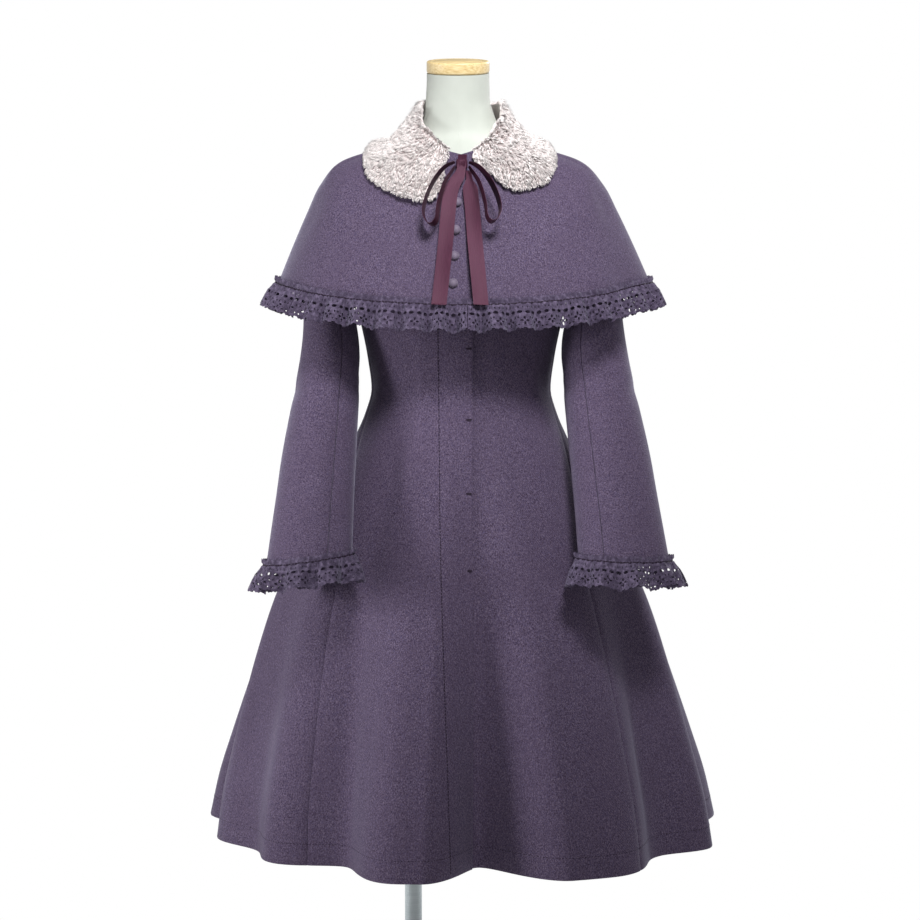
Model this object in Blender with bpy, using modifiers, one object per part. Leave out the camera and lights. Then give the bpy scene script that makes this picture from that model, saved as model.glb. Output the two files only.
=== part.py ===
"""Cape coat on a limbless dress form.

A fitted, flared wool coat with a shoulder cape, a fur collar tied with a ribbon bow, gathered lace on
the cape's hem and the cuffs, and covered buttons, worn by a dress form on an off-centre pole.

Units are metres.  +Z is up, the front faces -Y and the wearer's left is +X.  The origin is the centre of
the stand's underside, on the floor.  Angles run round the figure from the front: 0 is the centre front,
+90 degrees the wearer's left side and 180 the centre back.
"""

import math
from collections import namedtuple
from functools import lru_cache

import bmesh
import bpy
import numpy as np
from mathutils import Vector

# Cloth and seams
WOOL = 0.002
LACE = 0.0012
RIBBON = 0.001
SEAM_GAP = 0.0004
FRONT_LIFT = WOOL + 0.0013

# Coat
SIDE_NECK_HEIGHT = 1.427
FRONT_NECK_HEIGHT = 1.386
BACK_NECK_HEIGHT = 1.421
NECK_ROUND = 1.3
BUST_HEIGHT = 1.190
SEAM_TOP_HEIGHT = 1.2305
ARMHOLE_HEIGHT = 1.2962
ARMHOLE_HALF_HEIGHT = 0.070
ARMHOLE_HALF_ANGLE = math.radians(28)
FRONT_EDGE_X = 0.0165
UNDERLAP = 0.040
ARMHOLE_DIP = 0.0045
SIDE_ANGLE = math.radians(90)
UP = Vector((0, 0, 1))

CoatRing = namedtuple("CoatRing", "height half_width front_depth back_depth fold_share")
COAT_RINGS = (
    CoatRing(0.399, 0.378, 0.262, 0.330, 1.00),
    CoatRing(0.466, 0.366, 0.252, 0.315, 0.87),
    CoatRing(0.540, 0.346, 0.237, 0.294, 0.71),
    CoatRing(0.605, 0.327, 0.224, 0.276, 0.57),
    CoatRing(0.680, 0.303, 0.207, 0.250, 0.42),
    CoatRing(0.760, 0.273, 0.188, 0.223, 0.28),
    CoatRing(0.860, 0.221, 0.159, 0.180, 0.13),
    CoatRing(0.920, 0.188, 0.139, 0.151, 0.06),
    CoatRing(0.985, 0.154, 0.121, 0.122, 0.02),
    CoatRing(1.023, 0.137, 0.111, 0.106, 0.00),
    CoatRing(1.057, 0.1285, 0.105, 0.098, 0.00),
    CoatRing(1.100, 0.1335, 0.110, 0.101, 0.00),
    CoatRing(1.190, 0.151, 0.128, 0.114, 0.00),
    CoatRing(1.240, 0.157, 0.125, 0.121, 0.00),
    CoatRing(1.300, 0.168, 0.109, 0.121, 0.00),
    CoatRing(1.345, 0.177, 0.091, 0.106, 0.00),
    CoatRing(1.370, 0.171, 0.080, 0.094, 0.00),
    CoatRing(1.379, 0.142, 0.0755, 0.089, 0.00),
    CoatRing(1.393, 0.114, 0.0685, 0.081, 0.00),
    CoatRing(1.410, 0.083, 0.061, 0.070, 0.00),
    CoatRing(1.427, 0.061, 0.054, 0.058, 0.00),
)

# The skirt's folds at the hem: a ridge rises past the plain ring, a valley falls short of it.
HemFold = namedtuple("HemFold", "degrees rise")
HEM_FOLDS = (
    HemFold(-180, -0.030),
    HemFold(-160, 0.030),
    HemFold(-140, -0.030),
    HemFold(-115, 0.040),
    HemFold(-102, -0.040),
    HemFold(-89, -0.021),
    HemFold(-67, -0.056),
    HemFold(-48, -0.021),
    HemFold(-32, -0.052),
    HemFold(-13, 0.025),
    HemFold(-8, 0.022),
    HemFold(5, -0.072),
    HemFold(22, 0.023),
    HemFold(31, 0.024),
    HemFold(58, -0.042),
    HemFold(74, -0.004),
    HemFold(95, -0.040),
    HemFold(118, 0.050),
    HemFold(140, -0.030),
    HemFold(160, 0.030),
    HemFold(180, -0.030),
)

# Where the side panels' two seams run, from the hem to the armhole.
SeamRow = namedtuple("SeamRow", "height front_degrees back_degrees")
SIDE_SEAMS = (
    SeamRow(0.399, 40, 128),
    SeamRow(0.760, 43, 124),
    SeamRow(0.920, 60, 112),
    SeamRow(1.057, 80, 102),
    SeamRow(SEAM_TOP_HEIGHT, 80, 100),
)
SKIRT_ROWS = (
    0.399, 0.480, 0.570, 0.665, 0.760, 0.830, 0.880, 0.930, 0.990, 1.057, 1.120, BUST_HEIGHT, SEAM_TOP_HEIGHT,
)
YOKE_SHARES = (0.17, 0.35, 0.51, 0.625, 0.693, 0.75, 0.86, 1.0)
LAP_COLUMNS = 2
CENTRE_COLUMNS = 10
SIDE_COLUMNS = 15

# Sleeves, from the shoulder to the cuff; tilt turns a ring from level towards the armhole's plane.
SleeveRing = namedtuple("SleeveRing", "out forward height tilt half_out half_front")
SLEEVE_RINGS = (
    SleeveRing(0.1790, 0.002, 1.282, 76, 0.0660, 0.050),
    SleeveRing(0.1920, 0.006, 1.250, 54, 0.0515, 0.056),
    SleeveRing(0.1918, 0.014, 1.206, 26, 0.0365, 0.060),
    SleeveRing(0.1915, 0.028, 1.130, 6, 0.0410, 0.060),
    SleeveRing(0.1965, 0.050, 1.060, 0, 0.0470, 0.058),
    SleeveRing(0.2045, 0.088, 0.985, 0, 0.0525, 0.056),
    SleeveRing(0.2115, 0.138, 0.900, 0, 0.0570, 0.055),
    SleeveRing(0.2165, 0.184, 0.828, 0, 0.0615, 0.054),
)
# How the two sleeves differ where they hang free, at the top and at the cuff.
SleevePose = namedtuple("SleevePose", "side name top_shift top_fullness cuff_shift cuff_fullness cuff_tilt")
SLEEVE_POSES = (
    SleevePose(-1, "right", -0.0050, 0.96, -0.0065, 0.96, -8),
    SleevePose(1, "left", -0.0020, 1.08, 0.0085, 1.01, -2),
)
SLEEVE_FREE = 1.210
SLEEVE_HANG = 1.130
SLEEVE_LAP = 0.004
SLEEVE_LIFT = WOOL + 0.0012
SLEEVE_SEAM_FRONT = math.radians(118)
SLEEVE_SEAM_BACK = math.radians(250)
SLEEVE_COLUMNS = 8
SLEEVE_ROWS = 11

# Cape: three rings lie on the coat's shoulders, the others hang free.
CapeRest = namedtuple("CapeRest", "front side back lift")
CAPE_RESTS = (
    CapeRest(FRONT_NECK_HEIGHT - 0.002, SIDE_NECK_HEIGHT - 0.003, BACK_NECK_HEIGHT - 0.002, 0.0034),
    CapeRest(1.352, 1.402, 1.388, 0.0050),
    CapeRest(1.310, 1.3725, 1.340, 0.0110),
)
CapeRing = namedtuple("CapeRing", "half_width front_depth back_depth front side back")
CAPE_RINGS = (
    CapeRing(0.2010, 0.134, 0.138, 1.266, 1.350, 1.288),
    CapeRing(0.2200, 0.150, 0.152, 1.232, 1.311, 1.250),
    CapeRing(0.2415, 0.163, 0.162, 1.203, 1.262, 1.214),
    CapeRing(0.2645, 0.173, 0.171, 1.176, 1.206, 1.182),
)
CAPE_BULGE = 0.053
CAPE_EDGE = math.radians(2)
CAPE_UNDERLAP = math.radians(10)
CAPE_COLUMNS = 11
CAPE_BACK_COLUMNS = 18
CAPE_ROWS = 10
CapeFold = namedtuple("CapeFold", "degrees rise")
CAPE_FOLDS = (
    CapeFold(-180, -0.005),
    CapeFold(-150, 0.006),
    CapeFold(-118, -0.005),
    CapeFold(-90, -0.001),
    CapeFold(-62, -0.003),
    CapeFold(-38, 0.004),
    CapeFold(-12, -0.001),
    CapeFold(40, 0.006),
    CapeFold(60, -0.008),
    CapeFold(86, 0.008),
    CapeFold(118, -0.005),
    CapeFold(150, 0.006),
    CapeFold(180, -0.005),
)

# Gathered lace: a small heading above the gathering line, eyelets and a free edge below it.
LACE_HEADING = 0.009
LACE_DROP = 0.040
LaceRow = namedtuple("LaceRow", "drop wave")
LACE_ROWS = (
    LaceRow(-LACE_HEADING, 0.0022),
    LaceRow(0.000, 0.0008),
    LaceRow(0.014, 0.0052),
    LaceRow(0.020, 0.0066),
    LaceRow(LACE_DROP, 0.0095),
)
EYELET_ROW = 2
EYELET_CELLS = (0, 2)
CELLS_PER_WAVE = 4
CAPE_WAVES = 46
CUFF_WAVES = 9
LACE_GATHER_ABOVE_EDGE = 0.003
LACE_HANG = 0.6

# Fur collar, measured out from the neckline over the cape.
CollarEdge = namedtuple("CollarEdge", "degrees right left stand")
COLLAR_EDGES = (
    CollarEdge(7, 0.030, 0.012, 0.004),
    CollarEdge(10, 0.072, 0.024, 0.006),
    CollarEdge(14, 0.087, 0.043, 0.009),
    CollarEdge(20, 0.094, 0.071, 0.013),
    CollarEdge(28, 0.099, 0.089, 0.018),
    CollarEdge(38, 0.097, 0.093, 0.022),
    CollarEdge(48, 0.091, 0.088, 0.026),
    CollarEdge(60, 0.083, 0.079, 0.030),
    CollarEdge(90, 0.073, 0.067, 0.036),
    CollarEdge(135, 0.085, 0.085, 0.038),
    CollarEdge(180, 0.095, 0.095, 0.039),
)
COLLAR_PILE = 0.016
COLLAR_LIFT = WOOL / 2 + 0.0021
COLLAR_COLUMNS = 30
COLLAR_ROWS = 5
COLLAR_CROWDING = 0.10
COLLAR_ROLL = 0.4

# Ribbon bow
RIBBON_WIDTH = 0.021
KNOT_CENTRE = Vector((0.001, -0.0985, 1.376))
KNOT_SIZE = Vector((0.016, 0.012, 0.016))
LoopPoint = namedtuple("LoopPoint", "out drop forward width")
LOOP_POINTS = (
    LoopPoint(0.0098, -0.003, 0.0020, 0.55),
    LoopPoint(0.0230, 0.005, 0.0285, 0.80),
    LoopPoint(0.0370, 0.024, 0.0365, 1.00),
    LoopPoint(0.0480, 0.049, 0.0425, 1.00),
    LoopPoint(0.0530, 0.073, 0.0485, 1.00),
    LoopPoint(0.0490, 0.089, 0.0535, 1.00),
    LoopPoint(0.0410, 0.094, 0.0545, 1.00),
    LoopPoint(0.0345, 0.085, 0.0535, 1.00),
    LoopPoint(0.0320, 0.063, 0.0485, 1.00),
    LoopPoint(0.0240, 0.031, 0.0415, 0.90),
    LoopPoint(0.0098, 0.004, 0.0045, 0.50),
)
BowLoop = namedtuple("BowLoop", "name side length")
BOW_LOOPS = (
    BowLoop("bow_loop_right", -1, 0.90),
    BowLoop("bow_loop_left", 1, 0.86),
)
LOOP_STEPS = 22
BowTail = namedtuple("BowTail", "name top_x sidestep bottom_x top bottom tuck top_width")
BOW_TAILS = (
    BowTail("ribbon_tail_right", 0.0020, -0.0120, -0.0300, 1.3780, 1.1720, -0.0116, 0.58),
    BowTail("ribbon_tail_left", 0.0100, 0.0000, 0.0275, 1.3640, 1.1760, 0.0056, 0.40),
)
TAIL_CLEARANCE = 0.0125
TAIL_TUCK_POWER = 17
TAIL_SWING = 0.0040
TAIL_STEPS = 12

# Buttons on the cape's right front
BUTTON_RADIUS = 0.0066
BUTTON_HEIGHT = 0.0052
BUTTON_COUNT = 4
BUTTON_TOP = Vector((-0.0055, 0.0, 1.3200))
BUTTON_STEP = Vector((-0.0018, 0.0, -0.0372))

# Dress form and stand
FormRing = namedtuple("FormRing", "height half_width front_depth back_depth")
FORM_HIPS = (
    FormRing(0.800, 0.136, 0.088, 0.108),
    FormRing(0.840, 0.150, 0.098, 0.122),
    FormRing(0.900, 0.148, 0.098, 0.120),
    FormRing(0.980, 0.128, 0.092, 0.102),
)
FormEase = namedtuple("FormEase", "height ease")
FORM_EASES = (
    FormEase(1.057, 0.011),
    FormEase(1.190, 0.008),
    FormEase(1.300, 0.006),
    FormEase(1.370, 0.0027),
    FormEase(1.427, 0.0027),
)
FORM_ROWS = (1.057, 1.120, 1.190, 1.240, 1.300, 1.345, 1.366, 1.379, 1.393, 1.410, 1.427)
FORM_COLUMNS = 26
NECK_RADIUS = 0.0445
NECK_LEAN = math.radians(9)
NECK_TOP = Vector((-0.0043, -0.012, 1.508))
NECK_COLUMN = 0.046
CAP_THICKNESS = 0.017
POLE_X = -0.070
POLE_RADIUS = 0.0125
BASE_RADIUS = 0.180
BASE_THICKNESS = 0.010


def smooth(knots, values, at):
    """Monotone cubic through (knots, values), so that rings never overshoot their table."""
    at = min(max(at, knots[0]), knots[-1])
    k = min(max(int(np.searchsorted(knots, at)) - 1, 0), len(knots) - 2)

    def slope(i):
        if i in (0, len(knots) - 1):
            j = min(i, len(knots) - 2)
            return (values[j + 1] - values[j]) / (knots[j + 1] - knots[j])
        before = (values[i] - values[i - 1]) / (knots[i] - knots[i - 1])
        after = (values[i + 1] - values[i]) / (knots[i + 1] - knots[i])
        return 0.0 if before * after <= 0 else 2 * before * after / (before + after)

    span = knots[k + 1] - knots[k]
    s = (at - knots[k]) / span
    return (
        values[k] * (1 + 2 * s) * (1 - s) ** 2
        + slope(k) * span * s * (1 - s) ** 2
        + values[k + 1] * s * s * (3 - 2 * s)
        + slope(k + 1) * span * s * s * (s - 1)
    )


def column(rows, name, at):
    """One named column of a table, read at a place in the table's first column."""
    return smooth([row[0] for row in rows], [getattr(row, name) for row in rows], at)


def ease(low, high, at):
    """0 below low, 1 above high, smooth between."""
    s = min(max((at - low) / (high - low), 0.0), 1.0)
    return s * s * (3 - 2 * s)


def folded(folds, angle):
    """The rise of a table of ridges and valleys at an angle, by half cosines between them."""
    degrees = (math.degrees(angle) + 180) % 360 - 180
    for before, after in zip(folds, folds[1:]):
        if before.degrees <= degrees <= after.degrees:
            s = (degrees - before.degrees) / (after.degrees - before.degrees)
            return before.rise + (after.rise - before.rise) * (1 - math.cos(math.pi * s)) / 2
    return folds[-1].rise


def ring_point(angle, half_width, front_depth, back_depth, height, bulge=0.0):
    """A point of a level ring whose front and back have their own depths and whose corners bulge out."""
    sine, cosine = math.sin(angle), math.cos(angle)
    full = 1 + bulge * math.sin(2 * angle) ** 2
    depth = front_depth if cosine > 0 else back_depth
    return Vector((sine * half_width * full, -cosine * depth * full, height))


def normal_of(surface, a, b, sign=1):
    """The outward normal of surface(a, b), by differences."""
    step = 1e-4
    along_a = surface(a + step, b) - surface(a - step, b)
    along_b = surface(a, b + step) - surface(a, b - step)
    return sign * along_a.cross(along_b).normalized()


def through(points, s):
    """A Catmull-Rom curve through points, read at s from 0 to 1."""
    place = min(max(s, 0.0), 1.0) * (len(points) - 1)
    k = min(int(place), len(points) - 2)
    f = place - k
    b, c = points[k], points[k + 1]
    a = points[k - 1] if k > 0 else b * 2 - c
    d = points[k + 2] if k + 2 < len(points) else c * 2 - b
    return 0.5 * (2 * b + (c - a) * f + (2 * a - 5 * b + 4 * c - d) * f**2 + (3 * b - a - 3 * c + d) * f**3)


def spaced(count):
    """count + 1 even steps from 0 to 1."""
    return [i / count for i in range(count + 1)]


# Materials


def finish(name, colour, roughness, metallic=0.0):
    """A Principled material, made once."""
    material = bpy.data.materials.get(name) or bpy.data.materials.new(name)
    material.use_nodes = True
    shader = material.node_tree.nodes["Principled BSDF"]
    shader.inputs["Base Color"].default_value = (*colour, 1.0)
    shader.inputs["Roughness"].default_value = roughness
    shader.inputs["Metallic"].default_value = metallic
    material.diffuse_color = (*colour, 1.0)
    return material


def wool():
    return finish("plum_wool", (0.105, 0.070, 0.125), 0.9)


def lace_thread():
    return finish("violet_lace", (0.120, 0.085, 0.155), 0.8)


def fur():
    return finish("rose_fur", (0.560, 0.460, 0.455), 0.95)


def satin():
    return finish("wine_ribbon", (0.130, 0.035, 0.065), 0.45)


def form_cloth():
    return finish("form_jersey", (0.800, 0.820, 0.770), 0.85)


def beech():
    return finish("beech", (0.780, 0.560, 0.300), 0.5)


def steel():
    return finish("painted_steel", (0.520, 0.580, 0.600), 0.35, 0.8)


# Solids


def add_object(name, mesh, material, smooth_angle=40):
    """Links a finished mesh as one named piece of the garment."""
    mesh.materials.append(material)
    mesh.shade_smooth()
    mesh.set_sharp_from_angle(angle=math.radians(smooth_angle))
    made = bpy.data.objects.new(name, mesh)
    bpy.data.collections["cape_coat_on_form"].objects.link(made)
    return made


def mesh_of(name, points, faces):
    """A closed mesh from points and faces, with its faces turned outwards."""
    mesh = bpy.data.meshes.new(name)
    mesh.from_pydata([tuple(p) for p in points], [], faces)
    shape = bmesh.new()
    shape.from_mesh(mesh)
    if shape.calc_volume(signed=True) < 0:
        bmesh.ops.reverse_faces(shape, faces=shape.faces)
    shape.to_mesh(mesh)
    shape.free()
    return mesh


def wall(name, outer, inner, material, cut=None):
    """A wall between two grids of points, with rims round its edges and round each cell that cut names.

    A cell's outer and inner faces start at matching corners, so that both split along the same diagonal.
    """
    rows, columns = len(outer), len(outer[0])
    points = [p for row in outer for p in row] + [p for row in inner for p in row]
    half = rows * columns
    kept = {
        (i, j)
        for j in range(rows - 1)
        for i in range(columns - 1)
        if cut is None or not cut(i, j)
    }
    faces = []
    for i, j in kept:
        a, b = j * columns + i, j * columns + i + 1
        c, d = b + columns, a + columns
        faces += [(b, c, d, a), (d + half, c + half, b + half, a + half)]
        rims = {
            (i, j - 1): [(b, a, a + half, b + half)],
            (i + 1, j): [(c, b, c + half), (b, b + half, c + half)],
            (i, j + 1): [(d, c, c + half, d + half)],
            (i - 1, j): [(a, d, d + half), (a, d + half, a + half)],
        }
        faces += [face for beside, rim in rims.items() if beside not in kept for face in rim]
    return add_object(name, mesh_of(name, points, faces), material)


def panel(name, surface, across, along, material, thickness=WOOL, sign=1, lift=None, cut=None):
    """A cloth panel: surface(u, v) thickened to both sides, after lift(u, v) has moved it out."""
    outer, inner = [], []
    for v in along:
        middle = [(surface(u, v), normal_of(surface, u, v, sign), lift(u, v) if lift else 0.0) for u in across]
        outer.append([p + n * (out + thickness / 2) for p, n, out in middle])
        inner.append([p + n * (out - thickness / 2) for p, n, out in middle])
    return wall(name, outer, inner, material, cut)


def turned(name, profile, centre, material, steps=28):
    """A turned solid: its outer profile, from top to bottom as (radius, height), spun about +Z."""
    mesh = bpy.data.meshes.new(name)
    mesh.from_pydata([(r, 0, z) for r, z in profile], [(i, i + 1) for i in range(len(profile) - 1)], [])
    made = add_object(name, mesh, material)
    made.location = centre
    screw = made.modifiers.new("spin", "SCREW")
    screw.steps = screw.render_steps = steps
    screw.use_merge_vertices = True
    screw.merge_threshold = 1e-5
    return made


# Coat body


@lru_cache(maxsize=4096)
def coat_ring(height):
    return CoatRing(height, *(column(COAT_RINGS, name, height) for name in CoatRing._fields[1:]))


def coat_point(angle, height):
    """The coat's middle surface, folds included."""
    ring = coat_ring(height)
    point = ring_point(angle, ring.half_width, ring.front_depth, ring.back_depth, height)
    outward = Vector((point.x, point.y, 0.0)).normalized()
    return point + outward * ring.fold_share * folded(HEM_FOLDS, angle)


def edge_angle(height, side, back):
    """The side edge of a front or a back: the side panel's seam, then the armhole, then the shoulder."""
    if height <= SEAM_TOP_HEIGHT:
        return side * math.radians(column(SIDE_SEAMS, "back_degrees" if back else "front_degrees", height))
    share = (height - ARMHOLE_HEIGHT) / ARMHOLE_HALF_HEIGHT
    open_by = ARMHOLE_HALF_ANGLE * math.sqrt(max(0.0, 1 - share**2))
    return side * (SIDE_ANGLE + (open_by if back else -open_by))


def trimmed(surface, angle, along, towards, gap=SEAM_GAP):
    """An angle moved by half a seam's gap, towards +1 or -1."""
    speed = (surface(angle + 1e-4, along) - surface(angle - 1e-4, along)).length / 2e-4
    return angle + towards * gap / 2 / speed


def neck_height(share, back):
    """The neckline's height from the centre, 0, to the side, 1."""
    low = BACK_NECK_HEIGHT if back else FRONT_NECK_HEIGHT
    return low + (SIDE_NECK_HEIGHT - low) * abs(math.sin(math.pi / 2 * share)) ** NECK_ROUND


def panel_height(u, row, back):
    """Rows are level up to the top of the side seams, and then close up to the neckline."""
    place = row * (len(SKIRT_ROWS) + len(YOKE_SHARES) - 1)
    above = place - len(SKIRT_ROWS) + 1
    if above <= 0:
        return float(np.interp(place, range(len(SKIRT_ROWS)), SKIRT_ROWS))
    share = float(np.interp(above, range(len(YOKE_SHARES) + 1), (0.0,) + YOKE_SHARES))
    return SEAM_TOP_HEIGHT + share * (neck_height(u, back) - SEAM_TOP_HEIGHT)


def side_panel_height(u, row):
    """Rows are level up to the bust, and the top one follows the armhole's lower edge."""
    place = row * (len(SKIRT_ROWS) - 1)
    rows = SKIRT_ROWS[:-1] + (SEAM_TOP_HEIGHT - ARMHOLE_DIP * math.sin(math.pi * u),)
    return float(np.interp(place, range(len(rows)), rows))


def front_overlap(angle):
    """How much the right front is lifted to lap over the left one."""
    return FRONT_LIFT * ease(math.radians(-34), math.radians(-24), angle)


def coat_front(side, name):
    """A front, from its edge to the side; the right one lies over the left one, on the same columns."""
    lap = LAP_COLUMNS / CENTRE_COLUMNS

    def place(u, v):
        height = panel_height(u, v, back=False)
        across = max(coat_ring(height).half_width, 0.13)
        start = math.asin(FRONT_EDGE_X / across)
        lapped = math.asin((FRONT_EDGE_X - UNDERLAP) / across)
        if side > 0:
            start, lapped = lapped, start
        if u <= lap:
            return start + (lapped - start) * u / lap, height
        end = trimmed(coat_point, edge_angle(height, side, back=False), height, -side)
        return lapped + (end - lapped) * (u - lap) / (1 - lap), height

    def lift(u, v):
        return front_overlap(place(u, v)[0]) if side < 0 else 0.0

    rows = spaced(len(SKIRT_ROWS) + len(YOKE_SHARES) - 1)
    surface = on_coat(place)
    return panel(name, surface, spaced(CENTRE_COLUMNS), rows, wool(), sign=side, lift=lift)


def coat_back(side, name):
    """Half of the back, from the centre back seam to the side."""

    def place(u, v):
        height = panel_height(u, v, back=True)
        start = trimmed(coat_point, side * math.pi, height, -side)
        end = trimmed(coat_point, edge_angle(height, side, back=True), height, side)
        return start + (end - start) * u, height

    rows = spaced(len(SKIRT_ROWS) + len(YOKE_SHARES) - 1)
    return panel(name, on_coat(place), spaced(CENTRE_COLUMNS), rows, wool(), sign=-side)


def coat_side(side, name):
    """A side panel, between the front's seam and the back's, up to the armhole."""

    def place(u, v):
        height = side_panel_height(u, v)
        start = trimmed(coat_point, edge_angle(height, side, back=False), height, side)
        end = trimmed(coat_point, edge_angle(height, side, back=True), height, -side)
        return start + (end - start) * u, height

    rows = spaced(len(SKIRT_ROWS) - 1)
    return panel(name, on_coat(place), spaced(SIDE_COLUMNS), rows, wool(), sign=side)


def on_coat(place):
    """The coat's surface by a panel's own coordinates."""
    return lambda u, v: coat_point(*place(u, v))


# Sleeves


def sleeve_rings(turn, pose):
    """The sleeve's points at one turn round the arm, from the armhole to the cuff.

    Turn 0 is the outside, a quarter turn the front, half a turn the inside.
    """
    height = ARMHOLE_HEIGHT + (ARMHOLE_HALF_HEIGHT + SLEEVE_LAP) * math.cos(turn)
    opened = ARMHOLE_HALF_ANGLE * (1 + SLEEVE_LAP / ARMHOLE_HALF_HEIGHT)
    angle = pose.side * (SIDE_ANGLE - opened * math.sin(turn))
    first = coat_point(angle, height) + normal_of(coat_point, angle, height) * SLEEVE_LIFT
    points = [first]
    for ring in SLEEVE_RINGS:
        hung = ease(SLEEVE_FREE, SLEEVE_HANG, ring.height)
        share = max(0.0, (SLEEVE_HANG - ring.height) / (SLEEVE_HANG - SLEEVE_RINGS[-1].height))
        tilt = math.radians(ring.tilt + pose.cuff_tilt * share**2)
        out = ring.out + hung * (pose.top_shift + (pose.cuff_shift - pose.top_shift) * share)
        fullness = 1 + hung * (pose.top_fullness - 1 + (pose.cuff_fullness - pose.top_fullness) * share)
        reach = ring.half_out * fullness * math.cos(turn)
        x = out + reach * math.cos(tilt)
        y = -ring.forward - ring.half_front * math.sin(turn)
        points.append(Vector((pose.side * x, y, ring.height + reach * math.sin(tilt))))
    return points


def sleeve_point(turn, s, pose):
    return through(sleeve_rings(turn, pose), s)


def sleeve(pose, upper, name):
    """The upper or the under sleeve, between the front seam and the back seam."""
    first, last = SLEEVE_SEAM_BACK - 2 * math.pi, SLEEVE_SEAM_FRONT
    if not upper:
        first, last = SLEEVE_SEAM_FRONT, SLEEVE_SEAM_BACK

    def whole(turn, v):
        return sleeve_point(turn, v, pose)

    def surface(u, v):
        start = trimmed(whole, first, v, 1, 2 * SEAM_GAP)
        end = trimmed(whole, last, v, -1, 2 * SEAM_GAP)
        return whole(start + (end - start) * u, v)

    columns = SLEEVE_COLUMNS + 2 if upper else SLEEVE_COLUMNS - 2
    return panel(name, surface, spaced(columns), spaced(SLEEVE_ROWS), wool(), sign=pose.side)


# Cape


def level(row, angle, roundness):
    """A ring's height at an angle, from its front, side and back heights."""
    middle = row.front if math.cos(angle) > 0 else row.back
    return middle + (row.side - middle) * abs(math.sin(angle)) ** roundness


def cape_point(angle, s):
    """The cape's middle surface, from the neckline at 0 to the hem at 1."""
    points = []
    turned_in = (angle + math.pi) % (2 * math.pi) - math.pi
    over_front = ease(math.radians(-50), math.radians(-38), turned_in) * ease(math.radians(34), math.radians(12), turned_in)
    for row in CAPE_RESTS:
        height = level(row, angle, NECK_ROUND)
        lift = row.lift + FRONT_LIFT * over_front
        points.append(coat_point(angle, height) + normal_of(coat_point, angle, height) * lift)
    rise = folded(CAPE_FOLDS, angle)
    for k, row in enumerate(CAPE_RINGS):
        widths = (row.half_width, row.front_depth, row.back_depth)
        point = ring_point(angle, *widths, level(row, angle, 2.0), CAPE_BULGE)
        outward = Vector((point.x, point.y, 0.0)).normalized()
        points.append(point + outward * rise * (k + 1) / len(CAPE_RINGS))
    return through(points, s)


def cape_lift(angle):
    """The right front of the cape laps over its left front."""
    return FRONT_LIFT * ease(math.radians(-28), math.radians(-16), angle)


def cape_panel(first, last, columns, name, lapped=False):
    """A piece of the cape between two angles."""
    way = 1 if last > first else -1

    def place(u, v):
        start = trimmed(cape_point, first, v, way)
        end = trimmed(cape_point, last, v, -way)
        return start + (end - start) * u, v

    lift = (lambda u, v: cape_lift(place(u, v)[0])) if lapped else None
    surface = on_cape(place)
    return panel(name, surface, spaced(columns), spaced(CAPE_ROWS), wool(), sign=-way, lift=lift)


def on_cape(place):
    """The cape's surface by a piece's own coordinates."""
    return lambda u, v: cape_point(*place(u, v))


# Lace


def lace_strip(name, edge, waves, first, last):
    """A stretch of gathered lace.

    edge(share) gives the point on the sewing line, the cloth's slope there, the way the lace hangs and the
    way out, at a share of the whole edge; first and last are the stretch's ends in waves.
    """
    cells = round((last - first) * CELLS_PER_WAVE)
    outer, inner = [], []
    for row in LACE_ROWS:
        out_row, in_row = [], []
        for k in range(cells + 1):
            wave = first + (last - first) * k / cells
            uneven = 0.22 * math.sin(2.1 * wave) + 0.16 * math.sin(0.9 * wave + 1.0)
            fullness = 1 + 0.18 * math.sin(1.7 * wave + 0.6)
            point, slope, down, out = edge(wave / waves)
            swing = 1 + math.cos(2 * math.pi * (wave + 0.25 * uneven * math.sin(2 * math.pi * wave)))
            away = WOOL / 2 + 3 * SEAM_GAP + LACE / 2 + row.wave * fullness * swing
            middle = point + (slope if row.drop < 0 else down) * row.drop + out * away
            out_row.append(middle + out * LACE / 2)
            in_row.append(middle - out * LACE / 2)
        outer.append(out_row)
        inner.append(in_row)

    def eyelet(i, j):
        inside = 0 < i < cells - 1
        return inside and j == EYELET_ROW and (i + round(first * CELLS_PER_WAVE)) % CELLS_PER_WAVE in EYELET_CELLS

    return wall(name, outer, inner, lace_thread(), eyelet)


def cape_lace_edge(share):
    """The cape's hem, starting and ending at the front edge of the right front."""
    angle = CAPE_EDGE - 2 * math.pi * share
    angle = (angle + math.pi) % (2 * math.pi) - math.pi
    near_end = cape_lift(angle) if share < 0.5 else FRONT_LIFT * ease(0.9, 0.97, share) * 0.5
    slope = (cape_point(angle, 1.0) - cape_point(angle, 0.97)).normalized()
    down = slope.lerp(Vector((0, 0, -1)), LACE_HANG).normalized()
    out = normal_of(cape_point, angle, 0.985, -1)
    return cape_point(angle, 1.0) - slope * LACE_GATHER_ABOVE_EDGE + out * near_end, slope, down, out


def cuff_lace_edge(pose):
    def edge(share):
        turn = -2 * math.pi * share * pose.side
        end = sleeve_point(turn, 1.0, pose)
        slope = (end - sleeve_point(turn, 0.96, pose)).normalized()
        down = slope.lerp(Vector((0, -0.25, -1)).normalized(), LACE_HANG)
        out = normal_of(lambda a, b: sleeve_point(a, b, pose), turn, 0.98, pose.side)
        return end - slope * LACE_GATHER_ABOVE_EDGE, slope, down.normalized(), out

    return edge


# Collar, bow and buttons


def cape_share(angle, distance):
    """How far down the cape a distance from the neckline comes, as a share."""
    s, travelled, step = 0.0, 0.0, 0.01
    while travelled < distance:
        travelled += (cape_point(angle, s + step) - cape_point(angle, s)).length
        s += step
    return s


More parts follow.
